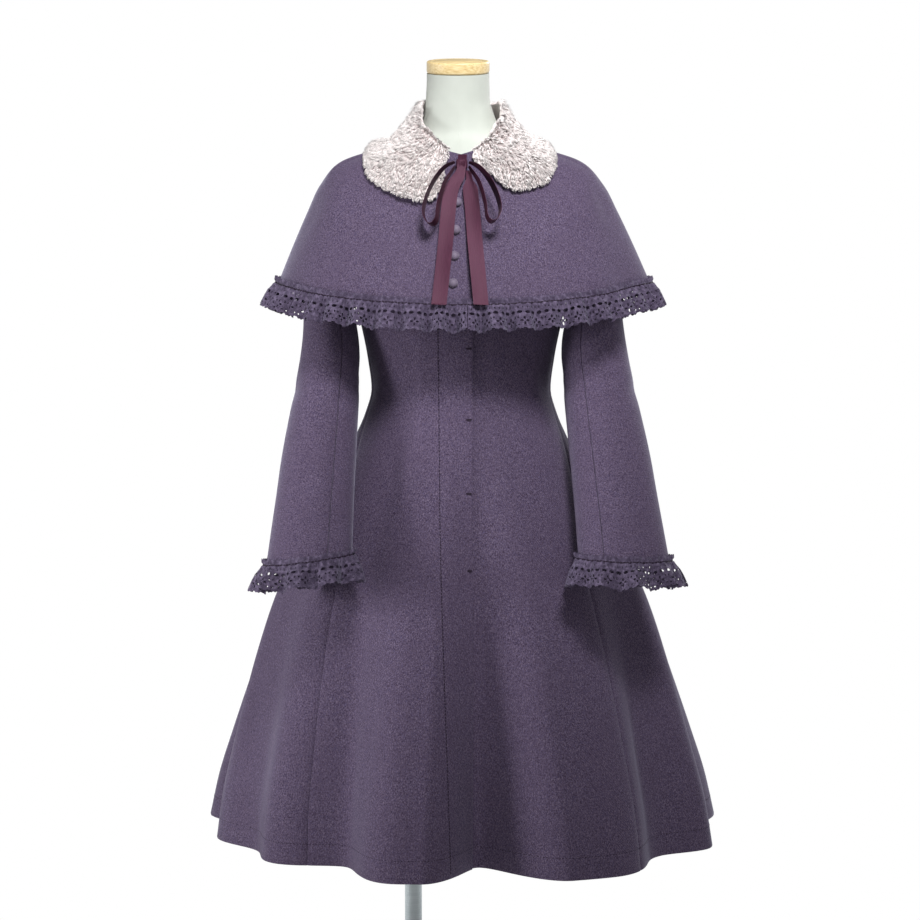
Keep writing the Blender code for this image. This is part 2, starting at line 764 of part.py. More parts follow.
def collar():
    """The fur collar: it stands up from the neckline, rolls over and lies on the cape."""
    ends = math.radians(COLLAR_EDGES[0].degrees)
    under, top = [], []
    for row in spaced(COLLAR_ROWS):
        low_row, high_row = [], []
        for step in spaced(COLLAR_COLUMNS):
            crowded = step - COLLAR_CROWDING * math.sin(2 * math.pi * step)
            angle = ends + (2 * math.pi - 2 * ends) * crowded
            turned_in = (angle + math.pi) % (2 * math.pi) - math.pi
            degrees = abs(math.degrees(turned_in))
            reach = column(COLLAR_EDGES, "right" if turned_in < 0 else "left", degrees)
            s = cape_share(turned_in, reach * row)
            out = normal_of(cape_point, turned_in, max(s, 0.002), -1)
            lap = FRONT_LIFT * ease(math.radians(-34), math.radians(-22), turned_in) if turned_in < 0 else 0.0
            base = cape_point(turned_in, s) + out * (COLLAR_LIFT + lap)
            rounding = math.sqrt(max(0.0, 1 - abs(2 * row - 1) ** 3))
            ending = math.sqrt(ease(-0.01, 0.08, min(crowded, 1 - crowded) * 2))
            roll = max(0.0, 1 - row / COLLAR_ROLL) ** 2 * column(COLLAR_EDGES, "stand", degrees)
            inward = Vector((-base.x, -base.y, 0)).normalized() * 0.47
            low_row.append(base)
            high_row.append(base + out * (0.004 + (COLLAR_PILE - 0.004) * rounding * ending) + (inward + UP) * roll)
        under.append(low_row)
        top.append(high_row)
    return wall("fur_collar", top, under, fur())


def strip(name, path, ways, widths):
    """A ribbon along a path; ways and widths give the direction and the size of its width at each point."""
    outer, inner = [], []
    for side in (-0.5, 0.5):
        out_row, in_row = [], []
        for k, point in enumerate(path):
            before, after = path[max(k - 1, 0)], path[min(k + 1, len(path) - 1)]
            way = ways[k].normalized()
            facing = (after - before).normalized().cross(way).normalized()
            edge = point + way * widths[k] * side
            out_row.append(edge + facing * RIBBON / 2)
            in_row.append(edge - facing * RIBBON / 2)
        outer.append(out_row)
        inner.append(in_row)
    return wall(name, outer, inner, satin())


def bow_loop(loop):
    """A hanging loop that leaves the knot, drops and comes back."""
    corners = [
        KNOT_CENTRE + Vector((loop.side * row.out, -row.forward, -row.drop * loop.length)) for row in LOOP_POINTS
    ]
    shares = spaced(LOOP_STEPS)
    path = [through(corners, share) for share in shares]
    places = spaced(len(LOOP_POINTS) - 1)
    widths = [RIBBON_WIDTH * float(np.interp(s, places, [row.width for row in LOOP_POINTS])) for s in shares]
    ways = [Vector((0.20 * loop.side, -1.0, 0.25)) for _ in shares]
    return strip(loop.name, path, ways, widths)


def cape_at(x, height):
    """The angle and the share of the cape's front at a given x and height."""
    low, high, angle = 0.0, 1.0, 0.02
    for _ in range(24):
        s = (low + high) / 2
        near, far = math.radians(-20), math.radians(20)
        for _ in range(24):
            angle = (near + far) / 2
            near, far = (angle, far) if cape_point(angle, s).x < x else (near, angle)
        low, high = (s, high) if cape_point(angle, s).z > height else (low, s)
    return angle, s


def bow_tail(tail):
    """A free end of the ribbon, hanging down the cape's front."""
    path, ways = [], []
    for share in spaced(TAIL_STEPS):
        height = tail.top + (tail.bottom - tail.top) * share
        aside = tail.sidestep * ease(0.06, 0.25, share)
        angle, s = cape_at(tail.top_x + aside + (tail.bottom_x - tail.top_x - tail.sidestep) * share, height)
        clear = TAIL_CLEARANCE - tail.tuck * (1 - share) ** TAIL_TUCK_POWER + TAIL_SWING * share**2
        path.append(cape_point(angle, s) + normal_of(cape_point, angle, s, -1) * clear)
        ways.append(Vector((1.0, 0.0, 0.06 * math.sin(4 * share))))
    widths = [
        RIBBON_WIDTH * (tail.top_width + (1 - tail.top_width) * ease(0.07, 0.16, share)) for share in spaced(TAIL_STEPS)
    ]
    return strip(tail.name, path, ways, widths)


def bow_knot():
    """The wrapped knot: a soft cushion of ribbon."""
    mesh = bpy.data.meshes.new("bow_knot")
    shape = bmesh.new()
    bmesh.ops.create_cube(shape, size=1)
    bmesh.ops.scale(shape, vec=KNOT_SIZE, verts=shape.verts)
    bmesh.ops.bevel(shape, geom=shape.edges, offset=0.004, segments=2, affect="EDGES", profile=0.5)
    bmesh.ops.translate(shape, vec=KNOT_CENTRE, verts=shape.verts)
    shape.to_mesh(mesh)
    shape.free()
    return add_object("bow_knot", mesh, satin())


def button(index):
    """A cloth-covered dome standing on the cape's right front."""
    place = BUTTON_TOP + BUTTON_STEP * index
    angle, s = cape_at(place.x, place.z)
    out = normal_of(cape_point, angle, s, -1)
    foot = cape_point(angle, s) + out * (cape_lift(angle) + WOOL / 2 + 1.5 * SEAM_GAP)
    turns = np.linspace(0, math.pi / 2, 5)
    profile = [(BUTTON_RADIUS * math.sin(a), BUTTON_HEIGHT * math.cos(a)) for a in turns] + [(0.0, 0.0)]
    made = turned(f"cape_button_{index + 1}", profile, foot, wool(), 12)
    made.rotation_mode = "QUATERNION"
    made.rotation_quaternion = out.to_track_quat("Z", "Y")
    return made


# Dress form and stand


def dress_form():
    """The padded torso with its neck, as one smooth solid."""
    rings = []
    angles = [2 * math.pi * k / FORM_COLUMNS for k in range(FORM_COLUMNS)]
    for row in FORM_HIPS:
        rings.append([ring_point(a, row.half_width, row.front_depth, row.back_depth, row.height) for a in angles])
    for height in FORM_ROWS:
        inset = column(FORM_EASES, "ease", height)
        rings.append([coat_point(a, height) - normal_of(coat_point, a, height) * inset for a in angles])
    lean = Vector((0, -math.sin(NECK_LEAN), math.cos(NECK_LEAN)))
    forward = Vector((0, -math.cos(NECK_LEAN), -math.sin(NECK_LEAN)))
    for share in (1.0, 0.45, 0.0):
        centre = NECK_TOP - lean * NECK_COLUMN * share
        radius = NECK_RADIUS * (1 + 0.06 * share**2)
        rings.append([centre + Vector((1, 0, 0)) * radius * math.sin(a) + forward * radius * math.cos(a) for a in angles])
    count = FORM_COLUMNS
    points = [p for ring in rings for p in ring]
    faces = [
        (r * count + k, r * count + (k + 1) % count, (r + 1) * count + (k + 1) % count, (r + 1) * count + k)
        for r in range(len(rings) - 1)
        for k in range(count)
    ]
    faces += [tuple(reversed(range(count))), tuple(range((len(rings) - 1) * count, len(rings) * count))]
    return add_object("form_torso", mesh_of("form_torso", points, faces), form_cloth(), 60)


def neck_cap():
    """The turned wooden cap on the neck."""
    radius = NECK_RADIUS + 0.0004
    profile = [(0, CAP_THICKNESS), (radius - 0.003, CAP_THICKNESS), (radius, CAP_THICKNESS - 0.003)]
    profile += [(radius, 0.0015), (radius - 0.0015, 0), (0, 0)]
    lean = Vector((0, -math.sin(NECK_LEAN), math.cos(NECK_LEAN)))
    made = turned("neck_cap", profile, NECK_TOP + lean * SEAM_GAP, beech())
    made.rotation_euler = (NECK_LEAN, 0, 0)
    return made


def stand():
    """Pole and round base plate."""
    top = FORM_HIPS[0].height - SEAM_GAP
    foot = BASE_THICKNESS + SEAM_GAP
    pole = [(0, top), (POLE_RADIUS, top), (POLE_RADIUS, foot), (0, foot)]
    turned("stand_pole", pole, (POLE_X, 0, 0), steel(), 20)
    edge = 0.004
    plate = [(0, BASE_THICKNESS), (BASE_RADIUS - edge, BASE_THICKNESS), (BASE_RADIUS, BASE_THICKNESS - edge)]
    turned("stand_base", plate + [(BASE_RADIUS, 0), (0, 0)], (0, 0, 0), steel(), 40)


def clear_scene():
    for old in list(bpy.data.objects):
        bpy.data.objects.remove(old)
    group = bpy.data.collections.new("cape_coat_on_form")
    bpy.context.scene.collection.children.link(group)


def main():
    clear_scene()
    dress_form()
    neck_cap()
    stand()
    for side, name in ((-1, "right"), (1, "left")):
        coat_front(side, f"coat_front_{name}")
        coat_side(side, f"coat_side_{name}")
        coat_back(side, f"coat_back_{name}")
    for pose in SLEEVE_POSES:
        sleeve(pose, True, f"sleeve_upper_{pose.name}")
        sleeve(pose, False, f"sleeve_under_{pose.name}")
        edge = cuff_lace_edge(pose)
        half = CUFF_WAVES / 2
        lace_strip(f"cuff_lace_front_{pose.name}", edge, CUFF_WAVES, 0.004, half - 0.004)
        lace_strip(f"cuff_lace_back_{pose.name}", edge, CUFF_WAVES, half + 0.004, CUFF_WAVES - 0.004)
    cape_panel(CAPE_EDGE, -SIDE_ANGLE, CAPE_COLUMNS, "cape_front_right", lapped=True)
    cape_panel(-CAPE_UNDERLAP, SIDE_ANGLE, CAPE_COLUMNS, "cape_front_left")
    cape_panel(SIDE_ANGLE, 3 * SIDE_ANGLE, CAPE_BACK_COLUMNS, "cape_back")
    quarter = CAPE_WAVES / 4
    for k, name in enumerate(("front_right", "back_right", "back_left", "front_left")):
        lace_strip(f"cape_lace_{name}", cape_lace_edge, CAPE_WAVES, quarter * k + 0.012, quarter * (k + 1) - 0.012)
    collar()
    bow_knot()
    for loop in BOW_LOOPS:
        bow_loop(loop)
    for tail in BOW_TAILS:
        bow_tail(tail)
    for index in range(BUTTON_COUNT):
        button(index)


if __name__ == "__main__":
    main()
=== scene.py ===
"""Dresses the cape coat and its form: wool panels, gathered lace, fur collar, satin bow, buttons and stand.

Metres, +Z up, the front faces -Y and the wearer's left is +X, as in the packed model.  Angles run round the
figure from the front: 0 is the centre front, +90 degrees the wearer's left side and 180 the centre back.
"""

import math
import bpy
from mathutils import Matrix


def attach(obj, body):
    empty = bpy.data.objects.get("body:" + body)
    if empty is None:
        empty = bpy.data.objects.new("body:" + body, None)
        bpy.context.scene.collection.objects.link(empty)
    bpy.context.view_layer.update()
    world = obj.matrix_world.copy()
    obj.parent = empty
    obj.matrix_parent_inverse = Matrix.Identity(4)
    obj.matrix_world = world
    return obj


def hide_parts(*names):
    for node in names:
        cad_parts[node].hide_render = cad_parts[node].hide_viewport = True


bl_info = {
    "name": "Cape Coat Dressing",
    "version": (1, 0, 0),
    "blender": (4, 5, 0),
    "location": "View3D > Sidebar > Coat",
    "description": "Cloth, lace, fur, ribbon and stand for a cape coat on a dress form",
    "category": "Object",
}

from collections import namedtuple

import bpy
import numpy as np
from bpy.props import FloatProperty, FloatVectorProperty, IntProperty, PointerProperty
from mathutils import Vector
from mathutils.geometry import delaunay_2d_cdt

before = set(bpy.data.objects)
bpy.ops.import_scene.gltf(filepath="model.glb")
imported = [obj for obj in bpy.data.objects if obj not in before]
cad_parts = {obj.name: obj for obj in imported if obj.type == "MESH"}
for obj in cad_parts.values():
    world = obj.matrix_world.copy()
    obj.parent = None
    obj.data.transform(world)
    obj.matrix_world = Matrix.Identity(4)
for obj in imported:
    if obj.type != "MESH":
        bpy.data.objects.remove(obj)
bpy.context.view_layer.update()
BODY = "root"

# Cloth and seams
WOOL = 0.002
LACE = 0.0012
LACE_THREAD = 0.0006
RIBBON = 0.0007
SEAM_GAP = 0.0004
FRONT_LIFT = WOOL + 0.0013
SEAM_DIP = 0.0009
SEAM_SOFT = 0.0035
TUCK = WOOL + 2 * SEAM_GAP

# Coat
SIDE_NECK_HEIGHT = 1.427
FRONT_NECK_HEIGHT = 1.386
BACK_NECK_HEIGHT = 1.421
NECK_ROUND = 1.3
SEAM_TOP_HEIGHT = 1.2305
ARMHOLE_HEIGHT = 1.2962
ARMHOLE_HALF_HEIGHT = 0.070
ARMHOLE_HALF_ANGLE = math.radians(28)
ARMHOLE_DIP = 0.0045
FRONT_EDGE_X = 0.0165
UNDERLAP = 0.040
LEAST_HALF_WIDTH = 0.13
LAP_SHARE = 0.2
HEM_HEIGHT = 0.399
SIDE_ANGLE = math.radians(90)

CoatRing = namedtuple("CoatRing", "height half_width front_depth back_depth fold_share")
COAT_RINGS = (
    CoatRing(0.399, 0.378, 0.262, 0.330, 1.00),
    CoatRing(0.466, 0.366, 0.252, 0.315, 0.87),
    CoatRing(0.540, 0.346, 0.237, 0.294, 0.71),
    CoatRing(0.605, 0.327, 0.224, 0.276, 0.57),
    CoatRing(0.680, 0.303, 0.207, 0.250, 0.42),
    CoatRing(0.760, 0.273, 0.188, 0.223, 0.28),
    CoatRing(0.860, 0.221, 0.159, 0.180, 0.13),
    CoatRing(0.920, 0.188, 0.139, 0.151, 0.06),
    CoatRing(0.985, 0.154, 0.121, 0.122, 0.02),
    CoatRing(1.023, 0.137, 0.111, 0.106, 0.00),
    CoatRing(1.057, 0.1285, 0.105, 0.098, 0.00),
    CoatRing(1.100, 0.1335, 0.110, 0.101, 0.00),
    CoatRing(1.190, 0.151, 0.128, 0.114, 0.00),
    CoatRing(1.240, 0.157, 0.125, 0.121, 0.00),
    CoatRing(1.300, 0.168, 0.109, 0.121, 0.00),
    CoatRing(1.345, 0.177, 0.091, 0.106, 0.00),
    CoatRing(1.370, 0.171, 0.080, 0.094, 0.00),
    CoatRing(1.379, 0.142, 0.0755, 0.089, 0.00),
    CoatRing(1.393, 0.114, 0.0685, 0.081, 0.00),
    CoatRing(1.410, 0.083, 0.061, 0.070, 0.00),
    CoatRing(1.427, 0.061, 0.054, 0.058, 0.00),
)

# The skirt's folds at the hem: a ridge rises past the plain ring, a valley falls short of it.
Fold = namedtuple("Fold", "degrees rise")
HEM_FOLDS = (
    Fold(-180, -0.030),
    Fold(-160, 0.030),
    Fold(-140, -0.030),
    Fold(-115, 0.040),
    Fold(-102, -0.040),
    Fold(-89, -0.021),
    Fold(-67, -0.056),
    Fold(-48, -0.021),
    Fold(-32, -0.052),
    Fold(-13, 0.025),
    Fold(-8, 0.022),
    Fold(5, -0.072),
    Fold(22, 0.023),
    Fold(31, 0.024),
    Fold(58, -0.042),
    Fold(74, -0.004),
    Fold(95, -0.040),
    Fold(118, 0.050),
    Fold(140, -0.030),
    Fold(160, 0.030),
    Fold(180, -0.030),
)
SeamRow = namedtuple("SeamRow", "height front_degrees back_degrees")
SIDE_SEAMS = (
    SeamRow(0.399, 40, 128),
    SeamRow(0.760, 43, 124),
    SeamRow(0.920, 60, 112),
    SeamRow(1.057, 80, 102),
    SeamRow(SEAM_TOP_HEIGHT, 80, 100),
)

# Soft creases, listed one by one: where each lies, how far it spreads and how deep it presses; ridges are
# negative.
Crease = namedtuple("Crease", "across along half_across half_along slant depth")
COAT_CREASES = (
    Crease(-58, 1.030, 9, 0.045, 90, 0.0022),
    Crease(-36, 1.012, 7, 0.050, 60, 0.0016),
    Crease(-72, 1.085, 8, 0.035, 140, 0.0018),
    Crease(46, 1.026, 8, 0.050, -80, 0.0020),
    Crease(64, 1.075, 9, 0.036, -130, 0.0018),
    Crease(30, 0.985, 6, 0.060, -40, 0.0014),
    Crease(-24, 0.940, 6, 0.070, 30, -0.0014),
    Crease(128, 1.040, 10, 0.040, 100, 0.0022),
    Crease(-128, 1.046, 10, 0.042, -100, 0.0022),
    Crease(158, 1.010, 8, 0.055, 40, 0.0018),
    Crease(-158, 1.005, 8, 0.055, -40, 0.0018),
    Crease(84, 0.620, 6, 0.110, 12, 0.0030),
    Crease(-78, 0.640, 6, 0.100, -10, 0.0030),
    Crease(42, 0.560, 5, 0.120, 6, -0.0024),
    Crease(-22, 0.600, 4, 0.120, -6, 0.0022),
    Crease(-32, 0.600, 4, 0.150, -4, 0.0038),
    Crease(53, 0.570, 4, 0.140, 5, 0.0040),
    Crease(150, 0.700, 6, 0.120, 10, -0.0030),
    Crease(-150, 0.680, 6, 0.120, -10, -0.0030),
)
CAPE_CREASES = (
    Crease(-46, 0.66, 6, 0.20, -8, 0.0026),
    Crease(-27, 0.74, 5, 0.16, -4, -0.0018),
    Crease(-70, 0.60, 7, 0.18, -12, 0.0024),
    Crease(33, 0.62, 6, 0.20, 10, -0.0026),
    Crease(47, 0.70, 6, 0.22, 14, 0.0034),
    Crease(70, 0.58, 7, 0.16, 8, 0.0024),
    Crease(112, 0.64, 8, 0.20, 10, 0.0030),
    Crease(-112, 0.62, 8, 0.20, -10, 0.0030),
    Crease(150, 0.70, 7, 0.18, 8, -0.0026),
    Crease(-150, 0.70, 7, 0.18, -8, -0.0026),
    Crease(172, 0.58, 6, 0.16, 4, 0.0024),
)
SLEEVE_CREASES = (
    Crease(60, 0.55, 26, 0.022, 0, 0.0026),
    Crease(92, 0.60, 30, 0.020, 0, 0.0030),
    Crease(104, 0.66, 28, 0.020, 0, 0.0026),
    Crease(20, 0.63, 26, 0.022, 0, 0.0018),
    Crease(-40, 0.58, 28, 0.024, 0, 0.0020),
    Crease(150, 0.62, 34, 0.018, 0, 0.0028),
    Crease(200, 0.58, 30, 0.018, 0, 0.0024),
    Crease(70, 0.82, 22, 0.030, 0, 0.0018),
    Crease(-20, 0.78, 22, 0.034, 0, -0.0016),
)

# Sleeves, from the shoulder to the cuff; tilt turns a ring from level towards the armhole's plane.
SleeveRing = namedtuple("SleeveRing", "out forward height tilt half_out half_front")
SLEEVE_RINGS = (
    SleeveRing(0.1790, 0.002, 1.282, 76, 0.0660, 0.050),
    SleeveRing(0.1920, 0.006, 1.250, 54, 0.0515, 0.056),
    SleeveRing(0.1918, 0.014, 1.206, 26, 0.0365, 0.060),
    SleeveRing(0.1915, 0.028, 1.130, 6, 0.0410, 0.060),
    SleeveRing(0.1965, 0.050, 1.060, 0, 0.0470, 0.058),
    SleeveRing(0.2045, 0.088, 0.985, 0, 0.0525, 0.056),
    SleeveRing(0.2115, 0.138, 0.900, 0, 0.0570, 0.055),
    SleeveRing(0.2165, 0.184, 0.828, 0, 0.0615, 0.054),
)
SleevePose = namedtuple("SleevePose", "side name top_shift top_fullness cuff_shift cuff_fullness cuff_tilt")
SLEEVE_POSES = (
    SleevePose(-1, "right", -0.0050, 0.96, -0.0065, 0.96, -8),
    SleevePose(1, "left", -0.0020, 1.08, 0.0085, 1.01, -2),
)
SLEEVE_FREE = 1.210
SLEEVE_HANG = 1.130
SLEEVE_LAP = 0.004
SLEEVE_LIFT = WOOL + 0.0012
SLEEVE_SEAM_FRONT = math.radians(118)
SLEEVE_SEAM_BACK = math.radians(250)

# Cape: three rings lie on the coat's shoulders, the others hang free.
CapeRest = namedtuple("CapeRest", "front side back lift")
CAPE_RESTS = (
    CapeRest(FRONT_NECK_HEIGHT - 0.002, SIDE_NECK_HEIGHT - 0.003, BACK_NECK_HEIGHT - 0.002, 0.0034),
    CapeRest(1.352, 1.402, 1.388, 0.0050),
    CapeRest(1.310, 1.3725, 1.340, 0.0110),
)
CapeRing = namedtuple("CapeRing", "half_width front_depth back_depth front side back")
CAPE_RINGS = (
    CapeRing(0.2010, 0.134, 0.138, 1.266, 1.350, 1.288),
    CapeRing(0.2200, 0.150, 0.152, 1.232, 1.311, 1.250),
    CapeRing(0.2415, 0.163, 0.162, 1.203, 1.262, 1.214),
    CapeRing(0.2645, 0.173, 0.171, 1.176, 1.206, 1.182),
)
CAPE_BULGE = 0.053
CAPE_EDGE = math.radians(2)
CAPE_UNDERLAP = math.radians(10)
CAPE_FOLDS = (
    Fold(-180, -0.005),
    Fold(-150, 0.006),
    Fold(-118, -0.005),
    Fold(-90, -0.001),
    Fold(-62, -0.003),
    Fold(-38, 0.004),
    Fold(-12, -0.001),
    Fold(40, 0.006),
    Fold(60, -0.008),
    Fold(86, 0.008),
    Fold(118, -0.005),
    Fold(150, 0.006),
    Fold(180, -0.005),
)

# Gathered lace: a small heading above the gathering line, eyelets and a scalloped edge below it.
LACE_HEADING = 0.009
LACE_DROP = 0.040
LaceRow = namedtuple("LaceRow", "drop wave")
LACE_ROWS = (
    LaceRow(-LACE_HEADING, 0.0022),
    LaceRow(0.000, 0.0008),
    LaceRow(0.014, 0.0052),
    LaceRow(0.020, 0.0066),
    LaceRow(LACE_DROP, 0.0095),
)
CAPE_WAVES = 46
CUFF_WAVES = 9
LACE_GATHER_ABOVE_EDGE = 0.003
LACE_HANG = 0.6
LACE_REPEAT = 0.024
LACE_CREST = 0.62
LACE_FLUTES = 4
LACE_FLUTE = 0.0017
LACE_FLUTE_DROP = 0.010
LaceHole = namedtuple("LaceHole", "along drop half_along half_drop turn corners rimmed")
LACE_HOLES = (
    LaceHole(0.0060, 0.0146, 0.0040, 0.0024, 0, 12, True),
    LaceHole(0.0180, 0.0146, 0.0040, 0.0024, 0, 12, True),
    LaceHole(0.0120, 0.0240, 0.0016, 0.0025, 0, 10, True),
    LaceHole(0.0120, 0.0320, 0.0016, 0.0025, 0, 10, True),
    LaceHole(0.0078, 0.0280, 0.0025, 0.0016, 0, 10, True),
    LaceHole(0.0162, 0.0280, 0.0025, 0.0016, 0, 10, True),
    LaceHole(0.0025, 0.0228, 0.0012, 0.0018, 25, 8, False),
    LaceHole(0.0215, 0.0228, 0.0012, 0.0018, -25, 8, False),
    LaceHole(0.0030, 0.0338, 0.0015, 0.0011, 15, 8, False),
    LaceHole(0.0210, 0.0338, 0.0015, 0.0011, -15, 8, False),
    LaceHole(0.0120, 0.0066, 0.0009, 0.0018, 0, 8, False),
    LaceHole(0.0050, 0.0066, 0.0009, 0.0018, 0, 8, False),
    LaceHole(0.0190, 0.0066, 0.0009, 0.0018, 0, 8, False),
)

# Fur collar, measured out from the neckline over the cape.
CollarEdge = namedtuple("CollarEdge", "degrees right left stand")
COLLAR_EDGES = (
    CollarEdge(7, 0.030, 0.012, 0.004),
    CollarEdge(10, 0.072, 0.024, 0.006),
    CollarEdge(14, 0.087, 0.043, 0.009),
    CollarEdge(20, 0.094, 0.071, 0.013),
    CollarEdge(28, 0.099, 0.089, 0.018),
    CollarEdge(38, 0.097, 0.093, 0.022),
    CollarEdge(48, 0.091, 0.088, 0.026),
    CollarEdge(60, 0.083, 0.079, 0.030),
    CollarEdge(90, 0.073, 0.067, 0.036),
    CollarEdge(135, 0.085, 0.085, 0.038),
    CollarEdge(180, 0.095, 0.095, 0.039),
)
COLLAR_PILE = 0.016
COLLAR_LIFT = WOOL / 2 + 0.0021
COLLAR_ROLL = 0.4
COLLAR_ROLL_KEPT = 0.96
COLLAR_THINNEST = 0.004
COLLAR_SKIN_SHARE = 0.32
TUFTS_ROUND = 96
TUFTS_DEEP = 9

# Ribbon bow
RIBBON_WIDTH = 0.021
KNOT_CENTRE = np.array((0.001, -0.0985, 1.376))
KNOT_SIZE = (0.016, 0.012, 0.016)
LoopPoint = namedtuple("LoopPoint", "out drop forward width")
LOOP_POINTS = (
    LoopPoint(0.0098, -0.003, 0.0020, 0.55),
    LoopPoint(0.0230, 0.005, 0.0285, 0.80),
    LoopPoint(0.0370, 0.024, 0.0365, 1.00),
    LoopPoint(0.0480, 0.049, 0.0425, 1.00),
    LoopPoint(0.0530, 0.073, 0.0485, 1.00),
    LoopPoint(0.0490, 0.089, 0.0535, 1.00),
    LoopPoint(0.0410, 0.094, 0.0545, 1.00),
    LoopPoint(0.0345, 0.085, 0.0535, 1.00),
    LoopPoint(0.0320, 0.063, 0.0485, 1.00),
    LoopPoint(0.0240, 0.031, 0.0415, 0.90),
    LoopPoint(0.0098, 0.004, 0.0045, 0.50),
)
BowLoop = namedtuple("BowLoop", "name side length")
BOW_LOOPS = (BowLoop("bow_loop_right", -1, 0.90), BowLoop("bow_loop_left", 1, 0.86))
BowTail = namedtuple("BowTail", "name top_x sidestep bottom_x top bottom tuck top_width")
BOW_TAILS = (
    BowTail("ribbon_tail_right", 0.0020, -0.0120, -0.0300, 1.3780, 1.1720, -0.0116, 0.58),
    BowTail("ribbon_tail_left", 0.0100, 0.0000, 0.0275, 1.3640, 1.1760, 0.0056, 0.40),
)
TAIL_CLEARANCE = 0.0125
TAIL_TUCK_POWER = 17
TAIL_SWING = 0.0040
TAIL_CUP = 0.0006
LOOP_STEPS = 97
TAIL_STEPS = 61

# Buttons on the cape's right front
BUTTON_RADIUS = 0.0066
BUTTON_HEIGHT = 0.0052
BUTTON_FOOT = 0.0008
BUTTON_COUNT = 4
BUTTON_TOP = (-0.0055, 1.3200)
BUTTON_STEP = (-0.0018, -0.0372)

# Dress form and stand
FormRing = namedtuple("FormRing", "height half_width front_depth back_depth")
FORM_HIPS = (
    FormRing(0.800, 0.136, 0.088, 0.108),
    FormRing(0.840, 0.150, 0.098, 0.122),
    FormRing(0.900, 0.148, 0.098, 0.120),
    FormRing(0.980, 0.128, 0.092, 0.102),
)
FormEase = namedtuple("FormEase", "height ease")
FORM_EASES = (
    FormEase(1.057, 0.011),
    FormEase(1.190, 0.008),
    FormEase(1.300, 0.006),
    FormEase(1.370, 0.0027),
    FormEase(1.427, 0.0027),
)
FORM_TOP_ROWS = (1.057, 1.120, 1.190, 1.240, 1.300, 1.345, 1.366, 1.379, 1.393, 1.410, 1.427)
NECK_RADIUS = 0.0445
NECK_LEAN = math.radians(9)
NECK_TOP = np.array((-0.0043, -0.012, 1.508))
NECK_COLUMN = 0.046
CAP_THICKNESS = 0.017
POLE_X = -0.070
POLE_RADIUS = 0.0125
BASE_RADIUS = 0.180
BASE_THICKNESS = 0.010

# Sewing that shows: the fly's topstitching by height and x, the hem's line and the fly's bar tacks.
FlyStitch = namedtuple("FlyStitch", "height x")
FLY_STITCHES = (FlyStitch(0.405, -0.0185), FlyStitch(0.800, -0.0275), FlyStitch(1.180, -0.0320))
HEM_STITCH_ABOVE = 0.030
TACK_HEIGHTS = (1.120, 1.018, 0.916, 0.811)
TACK_X = 0.0105
STITCH_PITCH = 0.0046
StitchSize = namedtuple("StitchSize", "length breadth")
FLY_STITCH = StitchSize(0.0038, 0.0012)
HEM_STITCH = StitchSize(0.0026, 0.0007)
# The gathering stitches are broad and near black: real stitches that also paint the shadow line where the
# lace is pinched.
GATHER_STITCH_AND_SHADE = StitchSize(0.0044, 0.0021)
BAR_TACK = StitchSize(0.0085, 0.0030)

# The photograph's camera
CAMERA_PLACE = (-0.0015, -3.6, 1.25)
CAMERA_PITCH = math.radians(4.716)
CAMERA_FOCAL_PIXELS = 2491.0
IMAGE_PIXELS = 920
SENSOR_MM = 36.0

# The studio: spot lights with their cones in degrees, and the heights where the white sweep begins and ends
Spot = namedtuple("Spot", "name power place target cone radius")
SPOTS = (
    Spot("key_light", "key_power", (0.45, -2.00, 3.30), (0.04, 0.0, 1.31), 30, 0.50),
    Spot("side_light", "side_power", (-2.80, -0.95, 1.15), (-0.04, 0.0, 0.70), 36, 0.45),
    Spot("back_light", "back_power", (1.70, 2.40, 2.50), (0.0, 0.0, 0.95), 50, 0.60),
)
SWEEP_STOPS = (0.18, 0.26, 0.57, 0.65)
FLOOR_THICKNESS = 0.02
FLOOR_BELOW = 0.0005


# Curves and tables


def monotone(knots, values, at):
    """Monotone cubic through (knots, values), so that rings never overshoot their table."""
    knots, values = np.asarray(knots, float), np.asarray(values, float)
    steps = np.diff(knots)
    rises = np.diff(values) / steps
    product = rises[:-1] * rises[1:]
    total = rises[:-1] + rises[1:]
    turning = product <= 0
    inner = np.where(turning, 0.0, 2 * product / np.where(turning, 1.0, total))
    slopes = np.concatenate((rises[:1], inner, rises[-1:]))
    at = np.clip(at, knots[0], knots[-1])
    k = np.clip(np.searchsorted(knots, at) - 1, 0, len(steps) - 1)
    s = (at - knots[k]) / steps[k]
    return (
        values[k] * (1 + 2 * s) * (1 - s) ** 2
        + slopes[k] * steps[k] * s * (1 - s) ** 2
        + values[k + 1] * s * s * (3 - 2 * s)
        + slopes[k + 1] * steps[k] * s * s * (s - 1)
    )


def column(rows, name, at):
    """One named column of a table, read at places in the table's first column."""
    return monotone([row[0] for row in rows], [getattr(row, name) for row in rows], at)


def ease(low, high, at):
    """0 below low, 1 above high, smooth between."""
    s = np.clip((at - low) / (high - low), 0.0, 1.0)
    return s * s * (3 - 2 * s)


def wrapped(angle):
    return (angle + math.pi) % (2 * math.pi) - math.pi


def folded(folds, angle):
    """The rise of a table of ridges and valleys at an angle, by half cosines between them."""
    degrees = np.degrees(wrapped(angle))
    places = np.array([fold.degrees for fold in folds], float)
    rises = np.array([fold.rise for fold in folds])
    k = np.clip(np.searchsorted(places, degrees) - 1, 0, len(folds) - 2)
    s = (degrees - places[k]) / (places[k + 1] - places[k])
    return rises[k] + (rises[k + 1] - rises[k]) * (1 - np.cos(np.pi * s)) / 2


def creased(creases, degrees, along):
    """How far a table of soft creases presses a cloth in."""
    pressed = np.zeros(np.broadcast(degrees, along).shape)
    for crease in creases:
        off = along - crease.along
        across = (degrees - crease.across - crease.slant * off + 180) % 360 - 180
        uneven = 1 + 0.35 * np.sin(off / crease.half_along * 1.7 + crease.across)
        spread = (across / crease.half_across) ** 2 + (off / crease.half_along) ** 2
        pressed += crease.depth * uneven * np.exp(-spread)
    return pressed


